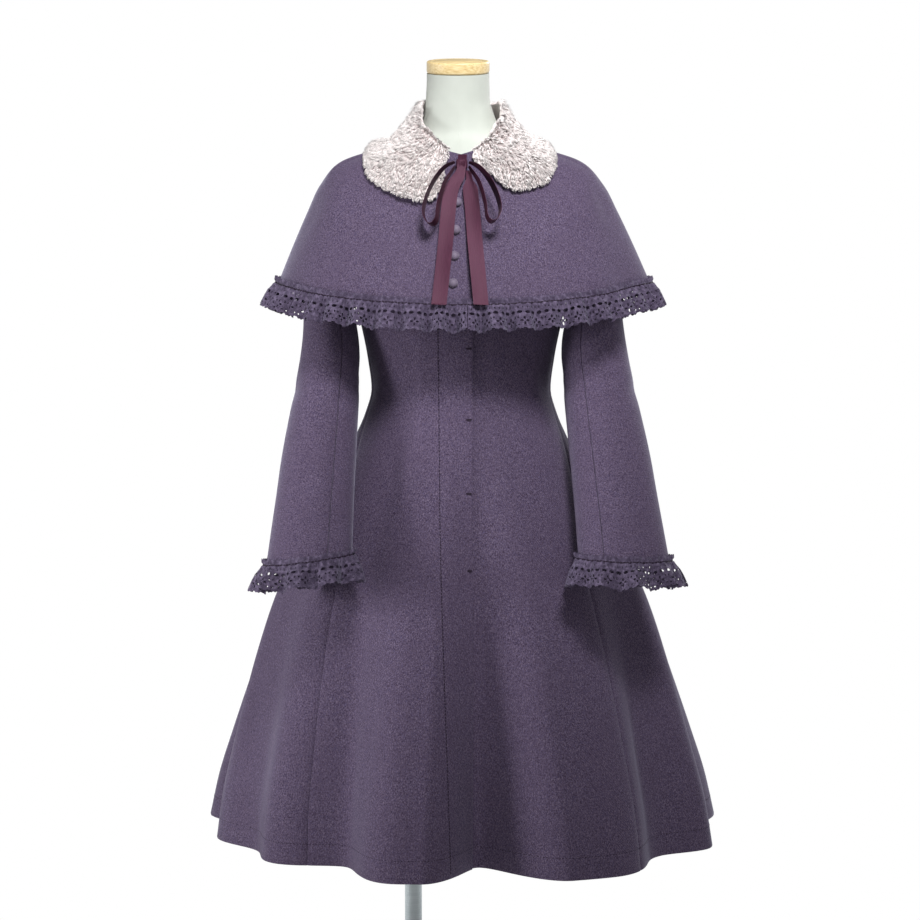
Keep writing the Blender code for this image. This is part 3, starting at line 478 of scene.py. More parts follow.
def unit(vectors):
    return vectors / np.maximum(np.linalg.norm(vectors, axis=-1, keepdims=True), 1e-12)


def ring_point(angle, half_width, front_depth, back_depth, height, bulge=0.0):
    """Points of a level ring whose front and back have their own depths and whose corners bulge out."""
    sine, cosine = np.sin(angle), np.cos(angle)
    full = 1 + bulge * np.sin(2 * angle) ** 2
    depth = np.where(cosine > 0, front_depth, back_depth)
    parts = np.broadcast_arrays(sine * half_width * full, -cosine * depth * full, height)
    return np.stack(parts, axis=-1)


def normal_of(surface, a, b, sign=1):
    """The outward normal of surface(a, b), by differences."""
    step = 1e-4
    along_a = surface(a + step, b) - surface(a - step, b)
    along_b = surface(a, b + step) - surface(a, b - step)
    return sign * unit(np.cross(along_a, along_b))


def through(points, s):
    """A Catmull-Rom curve through points, read at s from 0 to 1; both may be arrays of like shape."""
    count = len(points)
    place = np.clip(s, 0.0, 1.0) * (count - 1)
    k = np.minimum(place.astype(int), count - 2)
    f = (place - k)[..., None]
    ends = np.concatenate((2 * points[:1] - points[1:2], points, 2 * points[-1:] - points[-2:-1]))

    def pick(step):
        return np.take_along_axis(ends, (k + step)[None, ..., None], axis=0)[0]

    a, b, c, d = pick(0), pick(1), pick(2), pick(3)
    return 0.5 * (2 * b + (c - a) * f + (2 * a - 5 * b + 4 * c - d) * f**2 + (3 * b - a - 3 * c + d) * f**3)


def stepped(count, edge=0.0):
    """Even steps from 0 to 1, with one more close to each end where edge gives how close."""
    even = np.linspace(0, 1, count + 1)
    return np.unique(np.concatenate((even, [edge, 1 - edge])))


# The garment's surfaces, as the solids have them


def coat_point(angle, height):
    """The coat's middle surface, folds included."""
    angle, height = np.broadcast_arrays(np.asarray(angle, float), np.asarray(height, float))
    sizes = [column(COAT_RINGS, name, height) for name in CoatRing._fields[1:]]
    point = ring_point(angle, *sizes[:3], height)
    outward = unit(point * (1, 1, 0))
    return point + outward * (sizes[3] * folded(HEM_FOLDS, angle))[..., None]


def seam_angle(height, side, back):
    """The side edge of a front or a back: the side panel's seam, then the armhole, then the shoulder."""
    below = np.radians(column(SIDE_SEAMS, "back_degrees" if back else "front_degrees", height))
    share = (height - ARMHOLE_HEIGHT) / ARMHOLE_HALF_HEIGHT
    open_by = ARMHOLE_HALF_ANGLE * np.sqrt(np.maximum(0.0, 1 - share**2))
    above = SIDE_ANGLE + (open_by if back else -open_by)
    return side * np.where(height <= SEAM_TOP_HEIGHT, below, above)


def trimmed(surface, angle, along, towards, gap=SEAM_GAP):
    """An angle moved by half a seam's gap, towards +1 or -1."""
    speed = np.linalg.norm(surface(angle + 1e-4, along) - surface(angle - 1e-4, along), axis=-1) / 2e-4
    return angle + towards * gap / 2 / speed


def neck_height(share, back):
    """The neckline's height from the centre, 0, to the side, 1."""
    low = BACK_NECK_HEIGHT if back else FRONT_NECK_HEIGHT
    return low + (SIDE_NECK_HEIGHT - low) * np.abs(np.sin(np.pi / 2 * share)) ** NECK_ROUND


def panel_height(u, v, back):
    """Heights run straight up to the side seams' top, and then close up to the neckline."""
    seam_share = 0.80
    below = HEM_HEIGHT + (SEAM_TOP_HEIGHT - HEM_HEIGHT) * v / seam_share
    above = SEAM_TOP_HEIGHT + (v - seam_share) / (1 - seam_share) * (neck_height(u, back) - SEAM_TOP_HEIGHT)
    return np.where(v <= seam_share, below, above)


def front_overlap(angle):
    """How much the right front is lifted to lap over the left one."""
    return FRONT_LIFT * ease(math.radians(-34), math.radians(-24), angle)


def front_angle(x, height):
    """The coat's angle at a distance x from the centre front."""
    return np.arcsin(x / np.maximum(column(COAT_RINGS, "half_width", height), LEAST_HALF_WIDTH))


def front_place(side):
    """A front's angle and height, from its edge to the side."""

    def place(u, v):
        height = panel_height(u, v, back=False)
        start, lapped = front_angle(FRONT_EDGE_X, height), front_angle(FRONT_EDGE_X - UNDERLAP, height)
        if side > 0:
            start, lapped = lapped, start
        end = trimmed(coat_point, seam_angle(height, side, back=False), height, -side)
        near = start + (lapped - start) * u / LAP_SHARE
        far = lapped + (end - lapped) * (u - LAP_SHARE) / (1 - LAP_SHARE)
        return np.where(u <= LAP_SHARE, near, far), height

    return place


def back_place(side):
    """Half of the back, from the centre back seam to the side."""

    def place(u, v):
        height = panel_height(u, v, back=True)
        start = trimmed(coat_point, np.full(height.shape, side * math.pi), height, -side)
        end = trimmed(coat_point, seam_angle(height, side, back=True), height, side)
        return start + (end - start) * u, height

    return place


def side_place(side):
    """A side panel, between the front's seam and the back's, up to the armhole."""

    def place(u, v):
        top = SEAM_TOP_HEIGHT - ARMHOLE_DIP * np.sin(np.pi * u) * ease(0.95, 1.0, v)
        height = HEM_HEIGHT + (top - HEM_HEIGHT) * v
        start = trimmed(coat_point, seam_angle(height, side, back=False), height, side)
        end = trimmed(coat_point, seam_angle(height, side, back=True), height, -side)
        return start + (end - start) * u, height

    return place


def sleeve_point(turn, s, pose):
    """The sleeve's middle surface: turn 0 is outside, a quarter turn is the front, half a turn is inside."""
    turn, s = np.broadcast_arrays(np.asarray(turn, float), np.asarray(s, float))
    height = ARMHOLE_HEIGHT + (ARMHOLE_HALF_HEIGHT + SLEEVE_LAP) * np.cos(turn)
    opened = ARMHOLE_HALF_ANGLE * (1 + SLEEVE_LAP / ARMHOLE_HALF_HEIGHT)
    angle = pose.side * (SIDE_ANGLE - opened * np.sin(turn))
    points = [coat_point(angle, height) + normal_of(coat_point, angle, height) * SLEEVE_LIFT]
    for ring in SLEEVE_RINGS:
        hung = ease(SLEEVE_FREE, SLEEVE_HANG, ring.height)
        share = max(0.0, (SLEEVE_HANG - ring.height) / (SLEEVE_HANG - SLEEVE_RINGS[-1].height))
        tilt = math.radians(ring.tilt + pose.cuff_tilt * share**2)
        out = ring.out + hung * (pose.top_shift + (pose.cuff_shift - pose.top_shift) * share)
        fullness = 1 + hung * (pose.top_fullness - 1 + (pose.cuff_fullness - pose.top_fullness) * share)
        reach = ring.half_out * fullness * np.cos(turn)
        x = pose.side * (out + reach * math.cos(tilt))
        y = -ring.forward - ring.half_front * np.sin(turn)
        points.append(np.stack((x, y, ring.height + reach * math.sin(tilt)), axis=-1))
    return through(np.stack(points), s)


def level(row, angle, roundness):
    """A ring's height at an angle, from its front, side and back heights."""
    middle = np.where(np.cos(angle) > 0, row.front, row.back)
    return middle + (row.side - middle) * np.abs(np.sin(angle)) ** roundness


def cape_point(angle, s):
    """The cape's middle surface, from the neckline at 0 to the hem at 1."""
    angle, s = np.broadcast_arrays(np.asarray(angle, float), np.asarray(s, float))
    turned = wrapped(angle)
    degrees = np.degrees(turned)
    over_front = ease(-50, -38, degrees) * ease(34, 12, degrees)
    points = []
    for row in CAPE_RESTS:
        height = level(row, angle, NECK_ROUND)
        lift = row.lift + FRONT_LIFT * over_front
        points.append(coat_point(angle, height) + normal_of(coat_point, angle, height) * lift[..., None])
    rise = folded(CAPE_FOLDS, angle)
    for k, row in enumerate(CAPE_RINGS):
        widths = (row.half_width, row.front_depth, row.back_depth)
        point = ring_point(angle, *widths, level(row, angle, 2.0), CAPE_BULGE)
        points.append(point + unit(point * (1, 1, 0)) * (rise * (k + 1) / len(CAPE_RINGS))[..., None])
    return through(np.stack(points), s)


def cape_lift(angle):
    """The right front of the cape laps over its left front."""
    return FRONT_LIFT * ease(math.radians(-28), math.radians(-16), angle)


def cape_at(x, height):
    """The angle and the share of the cape's front at given x and height."""
    x, height = np.broadcast_arrays(np.asarray(x, float), np.asarray(height, float))
    low, high = np.zeros(x.shape), np.ones(x.shape)
    for _ in range(16):
        s = (low + high) / 2
        near = np.full(x.shape, math.radians(-20))
        far = -near
        for _ in range(16):
            angle = (near + far) / 2
            short = cape_point(angle, s)[..., 0] < x
            near, far = np.where(short, angle, near), np.where(short, far, angle)
        above = cape_point(angle, s)[..., 2] > height
        low, high = np.where(above, s, low), np.where(above, high, s)
    return angle, s


# Meshes


def put(name, points, faces, material, uv=None, smooth_degrees=50):
    """A finished mesh at the origin as one named piece that rides on the garment's body."""
    mesh = bpy.data.meshes.new(name)
    mesh.from_pydata(np.asarray(points).tolist(), [], faces)
    if uv is not None:
        owners = np.empty(len(mesh.loops), int)
        mesh.loops.foreach_get("vertex_index", owners)
        mesh.uv_layers.new(name="cloth").data.foreach_set("uv", np.asarray(uv)[owners].ravel())
    mesh.materials.append(material)
    mesh.shade_smooth()
    mesh.set_sharp_from_angle(angle=math.radians(smooth_degrees))
    made = bpy.data.objects.new(name, mesh)
    bpy.context.scene.collection.objects.link(made)
    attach(made, BODY)
    return made


def volume(points, faces):
    """Six times the signed volume that faces enclose."""
    total = 0.0
    for size in (3, 4):
        chosen = np.array([face for face in faces if len(face) == size], int).reshape(-1, size)
        for k in range(1, size - 1):
            a, b, c = points[chosen[:, 0]], points[chosen[:, k]], points[chosen[:, k + 1]]
            total += np.einsum("ij,ij->", a, np.cross(b, c))
    return total


def outward(points, faces):
    """Faces turned so that they point out."""
    return faces if volume(points, faces) > 0 else [face[::-1] for face in faces]


def wall_faces(rows, columns):
    """A grid's outer faces, inner faces and rims; the inner grid's points follow the outer grid's."""
    index = np.arange(rows * columns).reshape(rows, columns)
    half = rows * columns
    quads = np.stack((index[:-1, :-1], index[:-1, 1:], index[1:, 1:], index[1:, :-1]), axis=-1).reshape(-1, 4)
    ring = np.concatenate((index[0, :-1], index[:-1, -1], index[-1, :0:-1], index[:0:-1, 0]))
    following = np.roll(ring, -1)
    rims = np.stack((following, ring, ring + half, following + half), axis=-1)
    return np.concatenate((quads, quads[:, ::-1] + half, rims)).tolist()


def arc_lengths(points, axis):
    """Lengths run along one axis of a grid of points."""
    steps = np.linalg.norm(np.diff(points, axis=axis), axis=-1)
    start = np.zeros_like(np.take(steps, [0], axis=axis))
    return np.cumsum(np.concatenate((start, steps), axis=axis), axis=axis)


def grid_area(points):
    """The area of a grid's cells."""
    one = points[1:, 1:] - points[:-1, :-1]
    other = points[1:, :-1] - points[:-1, 1:]
    return float(np.linalg.norm(np.cross(one, other), axis=-1).sum() / 2)


def cloth(name, middle, normal, thickness, material, lift=0.0):
    """A cloth shell on a grid of points, thinner at its edges, with its weave's coordinates in metres."""
    rows, columns = middle.shape[:2]
    half = np.full((rows, columns), thickness / 2)
    half[0, :] = half[-1, :] = half[:, 0] = half[:, -1] = thickness * 0.24
    base = middle + normal * np.broadcast_to(lift, (rows, columns))[..., None]
    outer = base + normal * half[..., None]
    inner = base - normal * half[..., None]
    across, along = arc_lengths(middle, 1), arc_lengths(middle, 0)
    uv = np.stack((across - across[:, -1:] / 2, along), axis=-1).reshape(-1, 2)
    points = np.concatenate((outer.reshape(-1, 3), inner.reshape(-1, 3)))
    faces = outward(points, wall_faces(rows, columns))
    made = put(name, points, faces, material, np.concatenate((uv, uv)))
    flat = (float(across[:, -1].max()), float(along[-1].max()))
    return made, flat, min(grid_area(middle), flat[0] * flat[1])


# Materials


def finish(name):
    """A new material with its node tree, its Principled shader and its texture coordinates."""
    material = bpy.data.materials.new(name)
    material.use_nodes = True
    tree = material.node_tree
    return material, tree, tree.nodes["Principled BSDF"], add(tree, "ShaderNodeTexCoord")


def add(tree, kind, settings=(), **inputs):
    """A node with its settings made and its inputs set or linked; underscores stand for spaces."""
    made = tree.nodes.new(kind)
    for key, value in dict(settings).items():
        setattr(made, key, value)
    for key, value in inputs.items():
        connect(tree, value, made.inputs[key.replace("_", " ")])
    return made


def connect(tree, value, socket):
    """Links a socket, or sets a value."""
    if isinstance(value, bpy.types.NodeSocket):
        tree.links.new(value, socket)
    else:
        socket.default_value = value


def rgba(colour):
    return (*colour, 1.0)


def mixed(tree, factor, one, other):
    """Two colours mixed by a factor."""
    made = add(tree, "ShaderNodeMix", {"data_type": "RGBA"})
    for index, value in ((0, factor), (6, one), (7, other)):
        connect(tree, value, made.inputs[index])
    return made.outputs[2]


def noise(tree, vector, scale, detail=2.0, roughness=0.5):
    """Noise from 0 to 1, at a scale in cells per metre."""
    made = add(tree, "ShaderNodeTexNoise", Vector=vector, Scale=scale, Detail=detail, Roughness=roughness)
    return made.outputs[0]


def ramp(tree, factor, *stops):
    """A colour ramp through (place, colour) stops."""
    made = add(tree, "ShaderNodeValToRGB", Fac=factor)
    elements = made.color_ramp.elements
    while len(elements) < len(stops):
        elements.new(1.0)
    for element, (place, colour) in zip(elements, stops):
        element.position = place
        element.color = rgba(colour)
    return made.outputs[0]


def between(tree, value, low, high, to_low=0.0, to_high=1.0):
    """A value mapped from one range to another, clamped."""
    ranges = {"From_Min": low, "From_Max": high, "To_Min": to_low, "To_Max": to_high}
    return add(tree, "ShaderNodeMapRange", **ranges, Value=value).outputs[0]


def bumped(tree, shader, height, distance, strength=1.0):
    """Fine relief on a shader."""
    made = add(tree, "ShaderNodeBump", Strength=strength, Distance=distance, Height=height)
    tree.links.new(made.outputs[0], shader.inputs["Normal"])


def summed(tree, one, other, share):
    """One value plus a share of another."""
    made = add(tree, "ShaderNodeMath", {"operation": "MULTIPLY_ADD"})
    for socket, value in zip(made.inputs, (other, share, one)):
        connect(tree, value, socket)
    return made.outputs[0]


def scaled(tree, vector, *scale):
    """Coordinates stretched along their axes."""
    made = add(tree, "ShaderNodeMapping", Vector=vector)
    made.inputs["Scale"].default_value = scale
    return made.outputs[0]


def surfaced(tree, shader, colour, grain, smoothest, roughest):
    """Gives a shader its colour, and a roughness that follows a grain."""
    tree.links.new(colour, shader.inputs["Base Color"])
    tree.links.new(between(tree, grain, 0.3, 0.7, smoothest, roughest), shader.inputs["Roughness"])


def tuned(shader, **values):
    """Sets a shader's constant inputs; underscores stand for spaces."""
    for key, value in values.items():
        shader.inputs[key.replace("_", " ")].default_value = value


def wool_material(look):
    """Heathered plum twill: mixed yarns, a fine diagonal weave and a short bloom that catches the light."""
    material, tree, shader, place = finish("heathered_wool")
    upright = scaled(tree, place.outputs["Object"], 1.0, 1.0, 0.7)
    yarn = noise(tree, upright, 680.0, 1.0, 0.5)
    fleck = noise(tree, upright, 1100.0, 1.0, 0.5)
    cloud = noise(tree, place.outputs["Object"], 14.0, 2.0, 0.5)
    stops = ((0.33, look.dark_yarn), (0.45, look.plum_yarn), (0.56, look.mauve_yarn), (0.68, look.pale_yarn))
    body = ramp(tree, yarn, *stops)
    blue = mixed(tree, between(tree, fleck, 0.50, 0.70, 0.0, 0.70), body, rgba(look.blue_yarn))
    shaded = mixed(tree, between(tree, cloud, 0.30, 0.70, 0.0, 0.30), blue, rgba(look.plum_yarn))
    slanted = {"bands_direction": "DIAGONAL"}
    twill = add(tree, "ShaderNodeTexWave", slanted, Vector=place.outputs["UV"], Scale=170.0)
    twill.inputs["Distortion"].default_value = 1.6
    twill.inputs["Detail Scale"].default_value = 3.0
    relief = summed(tree, twill.outputs[1], yarn, 1.6)
    bumped(tree, shader, relief, 0.0004, 0.35)
    surfaced(tree, shader, shaded, fleck, 0.78, 0.95)
    tuned(
        shader,
        Specular_IOR_Level=0.18,
        Sheen_Weight=look.bloom,
        Sheen_Roughness=0.38,
        Sheen_Tint=rgba(look.bloom_tint),
    )
    return material


def lit_button_material(look):
    """The buttons' covers: the coat's cloth stretched smooth, in its lighter yarns only, a lit copy of the
    wool with painted highlight for the light the domes catch.
    """
    material, tree, shader, place = finish("button_cloth")
    yarn = noise(tree, place.outputs["Object"], 1500.0, 1.0, 0.5)
    # Painted highlight: the covers take only the wool's lighter yarns.
    colour = mixed(tree, between(tree, yarn, 0.35, 0.65), rgba(look.mauve_yarn), rgba(look.pale_yarn))
    surfaced(tree, shader, colour, yarn, 0.55, 0.7)
    bumped(tree, shader, yarn, 0.0002, 0.3)
    tuned(shader, Sheen_Weight=look.bloom)
    return material


def lace_material(look):
    """Violet cotton lace: looped threads with painted shade on the deep loops and painted highlight on the
    raised ones, both laid by noise.
    """
    material, tree, shader, place = finish("violet_cotton_lace")
    thread = noise(tree, place.outputs["UV"], 1500.0, 2.0, 0.6)
    patch = noise(tree, place.outputs["Object"], 180.0, 2.0, 0.5)
    # Painted shade: the ground darkens to the shaded thread; painted highlight: lit patches of highlight
    # thread.
    ground = mixed(tree, between(tree, thread, 0.41, 0.60), rgba(look.shaded_thread), rgba(look.thread))
    lit = mixed(tree, between(tree, patch, 0.45, 0.75, 0.0, 0.7), ground, rgba(look.highlight_thread))
    loops = add(tree, "ShaderNodeTexVoronoi", Vector=place.outputs["UV"], Scale=1300.0)
    relief = summed(tree, thread, loops.outputs[0], 0.8)
    bumped(tree, shader, relief, 0.0006, 0.7)
    surfaced(tree, shader, lit, thread, 0.62, 0.85)
    tuned(shader, Specular_IOR_Level=0.3, Sheen_Weight=0.15, Sheen_Tint=rgba((0.8, 0.8, 1.0)))
    return material


def fur_material(look):
    """Soft rose-grey pile: each lock pales from its root to its tip, tones vary from lock to lock, and
    patches of painted shade darken it.
    """
    material, tree, shader, place = finish("rose_pile")
    tone = add(tree, "ShaderNodeAttribute", {"attribute_name": "pile_tone"})
    parts = add(tree, "ShaderNodeSeparateColor", Color=tone.outputs["Color"])
    length = ramp(tree, parts.outputs[0], (0.0, look.root), (0.45, look.middle), (1.0, look.tip))
    patch = noise(tree, place.outputs["Object"], 70.0, 3.0, 0.6)
    # Painted shade in patches of the pile.
    shade_patched = mixed(tree, between(tree, patch, 0.42, 0.72, 0.0, 0.40), length, rgba(look.shade))
    lively = mixed(tree, between(tree, parts.outputs[1], 0.0, 1.0, 0.0, 0.45), shade_patched, rgba(look.tip))
    surfaced(tree, shader, lively, patch, 0.55, 0.75)
    bumped(tree, shader, noise(tree, place.outputs["Object"], 1400.0, 2.0, 0.5), 0.0004, 0.4)
    tuned(
        shader,
        Specular_IOR_Level=0.25,
        Sheen_Weight=0.35,
        Sheen_Roughness=0.4,
        Sheen_Tint=rgba((1.0, 0.95, 0.95)),
    )
    return material


def satin_material(look):
    """Wine satin ribbon: fine ribs across, painted shade in fine streaks along it and a soft lustre."""
    material, tree, shader, place = finish("wine_satin")
    ribs = add(tree, "ShaderNodeTexWave", {"bands_direction": "Y"}, Vector=place.outputs["UV"], Scale=420.0)
    long = scaled(tree, place.outputs["UV"], 900.0, 60.0, 1.0)
    streak = noise(tree, long, 1.0, 2.0, 0.5)
    # Painted shade: streaks of the shaded satin along the ribbon.
    colour = mixed(tree, between(tree, streak, 0.3, 0.7), rgba(look.shaded_satin), rgba(look.satin))
    surfaced(tree, shader, colour, streak, 0.42, 0.54)
    bumped(tree, shader, summed(tree, ribs.outputs[1], streak, 0.8), 0.00012, 0.5)
    tuned(
        shader,
        Specular_IOR_Level=0.34,
        Specular_Tint=rgba((1.0, 0.55, 0.75)),
        Sheen_Weight=0.06,
        Sheen_Roughness=0.3,
        Sheen_Tint=rgba((1.0, 0.7, 0.85)),
    )
    return material


def jersey_material(look):
    """The form's fine off-white jersey."""
    material, tree, shader, place = finish("form_knit")
    knit = add(tree, "ShaderNodeTexWave", {"bands_direction": "X"}, Vector=place.outputs["UV"], Scale=260.0)
    soft = noise(tree, place.outputs["Object"], 30.0, 2.0, 0.5)
    colour = mixed(tree, between(tree, soft, 0.35, 0.7), rgba(look.jersey), rgba(look.jersey_shade))
    relief = summed(tree, knit.outputs[1], noise(tree, place.outputs["UV"], 900.0, 1.0, 0.5), 0.8)
    bumped(tree, shader, relief, 0.0002, 0.35)
    surfaced(tree, shader, colour, soft, 0.78, 0.9)
    tuned(shader, Sheen_Weight=0.2)
    return material


def beech_material(look):
    """Varnished beech with fine grain and short flecks."""
    material, tree, shader, place = finish("varnished_beech")
    along = scaled(tree, place.outputs["Object"], 60.0, 420.0, 420.0)
    grain = noise(tree, along, 1.0, 3.0, 0.6)
    colour = ramp(tree, grain, (0.30, look.beech_dark), (0.52, look.beech), (0.75, look.beech_pale))
    surfaced(tree, shader, colour, grain, 0.36, 0.50)
    bumped(tree, shader, grain, 0.0002, 0.3)
    tuned(shader, Coat_Weight=0.25, Coat_Roughness=0.25)
    return material


def steel_material(look):
    """Brushed steel with marks round the tube."""
    material, tree, shader, place = finish("brushed_stand_steel")
    round_marks = scaled(tree, place.outputs["Object"], 40.0, 40.0, 1600.0)
    marks = noise(tree, round_marks, 1.0, 3.0, 0.6)
    colour = mixed(tree, between(tree, marks, 0.3, 0.7), rgba(look.steel), rgba(look.steel_worn))
    surfaced(tree, shader, colour, marks, 0.28, 0.46)
    bumped(tree, shader, marks, 0.0001, 0.25)
    tuned(shader, Metallic=0.85)
    return material


def thread_and_shade_material(look):
    """Sewing thread, darker than the wool: near black, the thread's own dark tone with painted shade of its
    stitch lines and tacks.
    """
    material, tree, shader, place = finish("sewing_thread")
    twist = noise(tree, place.outputs["Object"], 2400.0, 1.0, 0.5)
    # Painted shade: the near-black thread darkens the stitch lines and tacks.
    colour = mixed(tree, between(tree, twist, 0.35, 0.65), rgba(look.thread_and_shade), rgba(look.dark_yarn))
    surfaced(tree, shader, colour, twist, 0.5, 0.7)
    bumped(tree, shader, twist, 0.0002, 0.4)
    tuned(shader, Specular_IOR_Level=0.1)
    return material


def floor_material(look):
    """A plain pale floor."""
    material, tree, shader, place = finish("pale_floor")
    soft = noise(tree, place.outputs["Object"], 8.0, 2.0, 0.5)
    worn = [0.97 * part for part in look.floor]
    colour = mixed(tree, between(tree, soft, 0.3, 0.7), rgba(look.floor), rgba(worn))
    tree.links.new(colour, shader.inputs["Base Color"])
    tuned(shader, Roughness=0.8)
    return material


# Sizes and colours that a user would change


def colour_property(name, description, default):
    return FloatVectorProperty(
        name=name, description=description, subtype="COLOR", size=3, min=0.0, max=1.0, default=default
    )


def number_property(name, description, default, **limits):
    return FloatProperty(name=name, description=description, default=default, **limits)


class CoatLook(bpy.types.PropertyGroup):
    """The wool of the coat and the cape."""

    plum_yarn: colour_property("Plum yarn", "The wool's main colour", (0.076, 0.053, 0.094))
    mauve_yarn: colour_property("Mauve yarn", "The wool's lighter yarn", (0.100, 0.073, 0.119))
    pale_yarn: colour_property("Pale yarn", "The wool's palest yarn", (0.160, 0.124, 0.188))
    blue_yarn: colour_property("Blue yarn", "The wool's blue-violet flecks", (0.080, 0.068, 0.150))
    dark_yarn: colour_property("Dark yarn", "The wool's darkest yarn", (0.034, 0.021, 0.042))
    # Thread colour: the thread's own dark tone with painted shade of its stitch lines and tacks.
    thread_and_shade: colour_property("Thread", "The sewing thread", (0.010, 0.007, 0.012))
    bloom_tint: colour_property("Bloom tint", "The nap's colour where light grazes it", (0.80, 0.80, 1.0))
    bloom: number_property("Bloom", "How much the nap catches the light", 0.30, min=0, max=1)
    crease: number_property("Creases", "How deep the soft creases press", 1.0, min=0, max=2)


class LaceLook(bpy.types.PropertyGroup):
    """The gathered lace on the cape's hem and the cuffs."""

    thread: colour_property("Thread", "The lace's main colour", (0.092, 0.067, 0.128))
    # Painted shade and painted highlight of the lace's loops.
    shaded_thread: colour_property("Deep thread", "The lace's shaded loops", (0.026, 0.017, 0.037))
    highlight_thread: colour_property("Pale thread", "The lace's raised loops", (0.185, 0.145, 0.240))
    rim_rise: number_property("Rim rise", "How far an eyelet's rim rises", 0.00045, unit="LENGTH", min=0.0)


class FurLook(bpy.types.PropertyGroup):
    """The pile of the collar."""

    root: colour_property("Root", "The pile at its roots", (0.730, 0.620, 0.615))
    middle: colour_property("Middle", "The pile half way", (0.865, 0.785, 0.775))
    tip: colour_property("Tip", "The pile at its tips", (0.960, 0.930, 0.920))
    # Painted shade, laid in patches of the pile.
    shade: colour_property("Shade", "Deeper patches of the pile", (0.790, 0.685, 0.680))
    locks: IntProperty(
        name="Locks", description="How many locks the pile has", default=33000, min=1000, max=60000
    )
    length: number_property("Length", "A lock's length", 0.0165, unit="LENGTH", min=0.002, max=0.03)
    breadth: number_property("Breadth", "A lock's breadth at its root", 0.0014, unit="LENGTH", min=0.0002)


class RibbonLook(bpy.types.PropertyGroup):
    """The satin ribbon of the bow."""

    satin: colour_property("Satin", "The ribbon's main colour", (0.056, 0.015, 0.033))
    # Painted shade in streaks along the ribbon.
    shaded_satin: colour_property("Deep satin", "The ribbon's shaded threads", (0.032, 0.008, 0.019))


class FormLook(bpy.types.PropertyGroup):
    """The dress form and its stand."""

    jersey: colour_property("Jersey", "The form's covering", (0.560, 0.590, 0.540))
    jersey_shade: colour_property("Jersey shade", "The covering's deeper stitches", (0.520, 0.550, 0.500))
    beech: colour_property("Beech", "The neck cap's wood", (0.780, 0.600, 0.300))
    beech_dark: colour_property("Beech grain", "The wood's darker grain", (0.620, 0.430, 0.180))
    beech_pale: colour_property("Beech flecks", "The wood's paler flecks", (0.860, 0.720, 0.430))
    steel: colour_property("Steel", "The pole and the base", (0.430, 0.490, 0.510))
    steel_worn: colour_property("Worn steel", "The steel's lighter marks", (0.580, 0.630, 0.650))


class StageLook(bpy.types.PropertyGroup):
    """Floor and light."""

    floor: colour_property("Floor", "The floor's colour", (0.860, 0.860, 0.860))
    floor_radius: number_property("Floor radius", "The floor's radius", 0.85, unit="LENGTH", min=0.1)
    key_power: number_property("Key", "The front light's power", 600.0, min=0.0)
    side_power: number_property("Side", "The side light's power", 290.0, min=0.0)
    back_power: number_property("Back", "The back light's power", 160.0, min=0.0)
    sky: number_property("Surround", "The white surround's strength", 1.0, min=0.0)
    dim: number_property("Dim", "The surround's tone overhead and underfoot", 0.05, min=0.0)
    room: number_property("Room", "How bright the surround is before the figure", 0.6, min=0.0)


LOOKS = (
    ("coat_look", CoatLook),
    ("lace_look", LaceLook),
    ("fur_look", FurLook),
    ("ribbon_look", RibbonLook),
    ("form_look", FormLook),
    ("stage_look", StageLook),
)


# Wool pieces


def wool(context):
    """The coat's wool, made when it is first wanted."""
    return bpy.data.materials.get("heathered_wool") or wool_material(context.scene.coat_look)


def seam_dip(distances):
    """How far a cloth sinks into a seam, by its distance from the seam."""
    return SEAM_DIP * np.exp(-((distances / SEAM_SOFT) ** 2))


def wool_panel(context, node, surface, shape, sign, lift, seams):
    """One cut piece of wool: surface(u, v) with its creases, its own lift and its two side edges.

    An edge is free, sewn, or sewn and tucked: then its seam allowance goes on under the neighbour.
    """
    columns, rows = shape
    before = [-0.016, -0.008, -0.001] if seams[0] == "tucked" else []
    after = [1.001, 1.008, 1.016] if seams[1] == "tucked" else []
    u, v = np.meshgrid(np.concatenate((before, stepped(columns, 0.004), after)), stepped(rows, 0.0016))
    middle = surface(u, v)
    normal = normal_of(surface, u, v, sign)
    out = lift(u, v)
    width = arc_lengths(middle, 1)[:, -1:]
    for seam, inward in zip(seams, (u, 1 - u)):
        if seam != "free":
            out = out - seam_dip(np.maximum(inward, 0.0) * width)
        out = out - TUCK * (inward < 0)
    made, flat, area = cloth(f"{node}_cloth", middle, normal, WOOL, wool(context), out)
    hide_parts(node)


class COAT_OT_body(bpy.types.Operator):
    """Makes the coat's fronts, side panels and backs"""

    bl_idname = "cape_coat.body"
    bl_label = "Coat body"

    def execute(self, context):
        depth = context.scene.coat_look.crease

        def on_coat(place):
            return lambda u, v: coat_point(*place(u, v))

        def lifted(place, lap):
            def lift(u, v):
                angle, height = place(u, v)
                pressed = creased(COAT_CREASES, np.degrees(angle), height) * depth
                return (front_overlap(angle) if lap else 0.0) - pressed

            return lift

        for side, name in ((-1, "right"), (1, "left")):
            for part, place, shape, sign, seams in (
                ("front", front_place(side), (56, 120), side, ("free", "tucked")),
                ("side", side_place(side), (56, 104), side, ("sewn", "sewn")),
                ("back", back_place(side), (52, 120), -side, ("tucked" if side > 0 else "sewn", "tucked")),
            ):
                lift = lifted(place, part == "front" and side < 0)
                node = f"coat_{part}_{name}"
                wool_panel(context, node, on_coat(place), shape, sign, lift, seams)
        return {"FINISHED"}


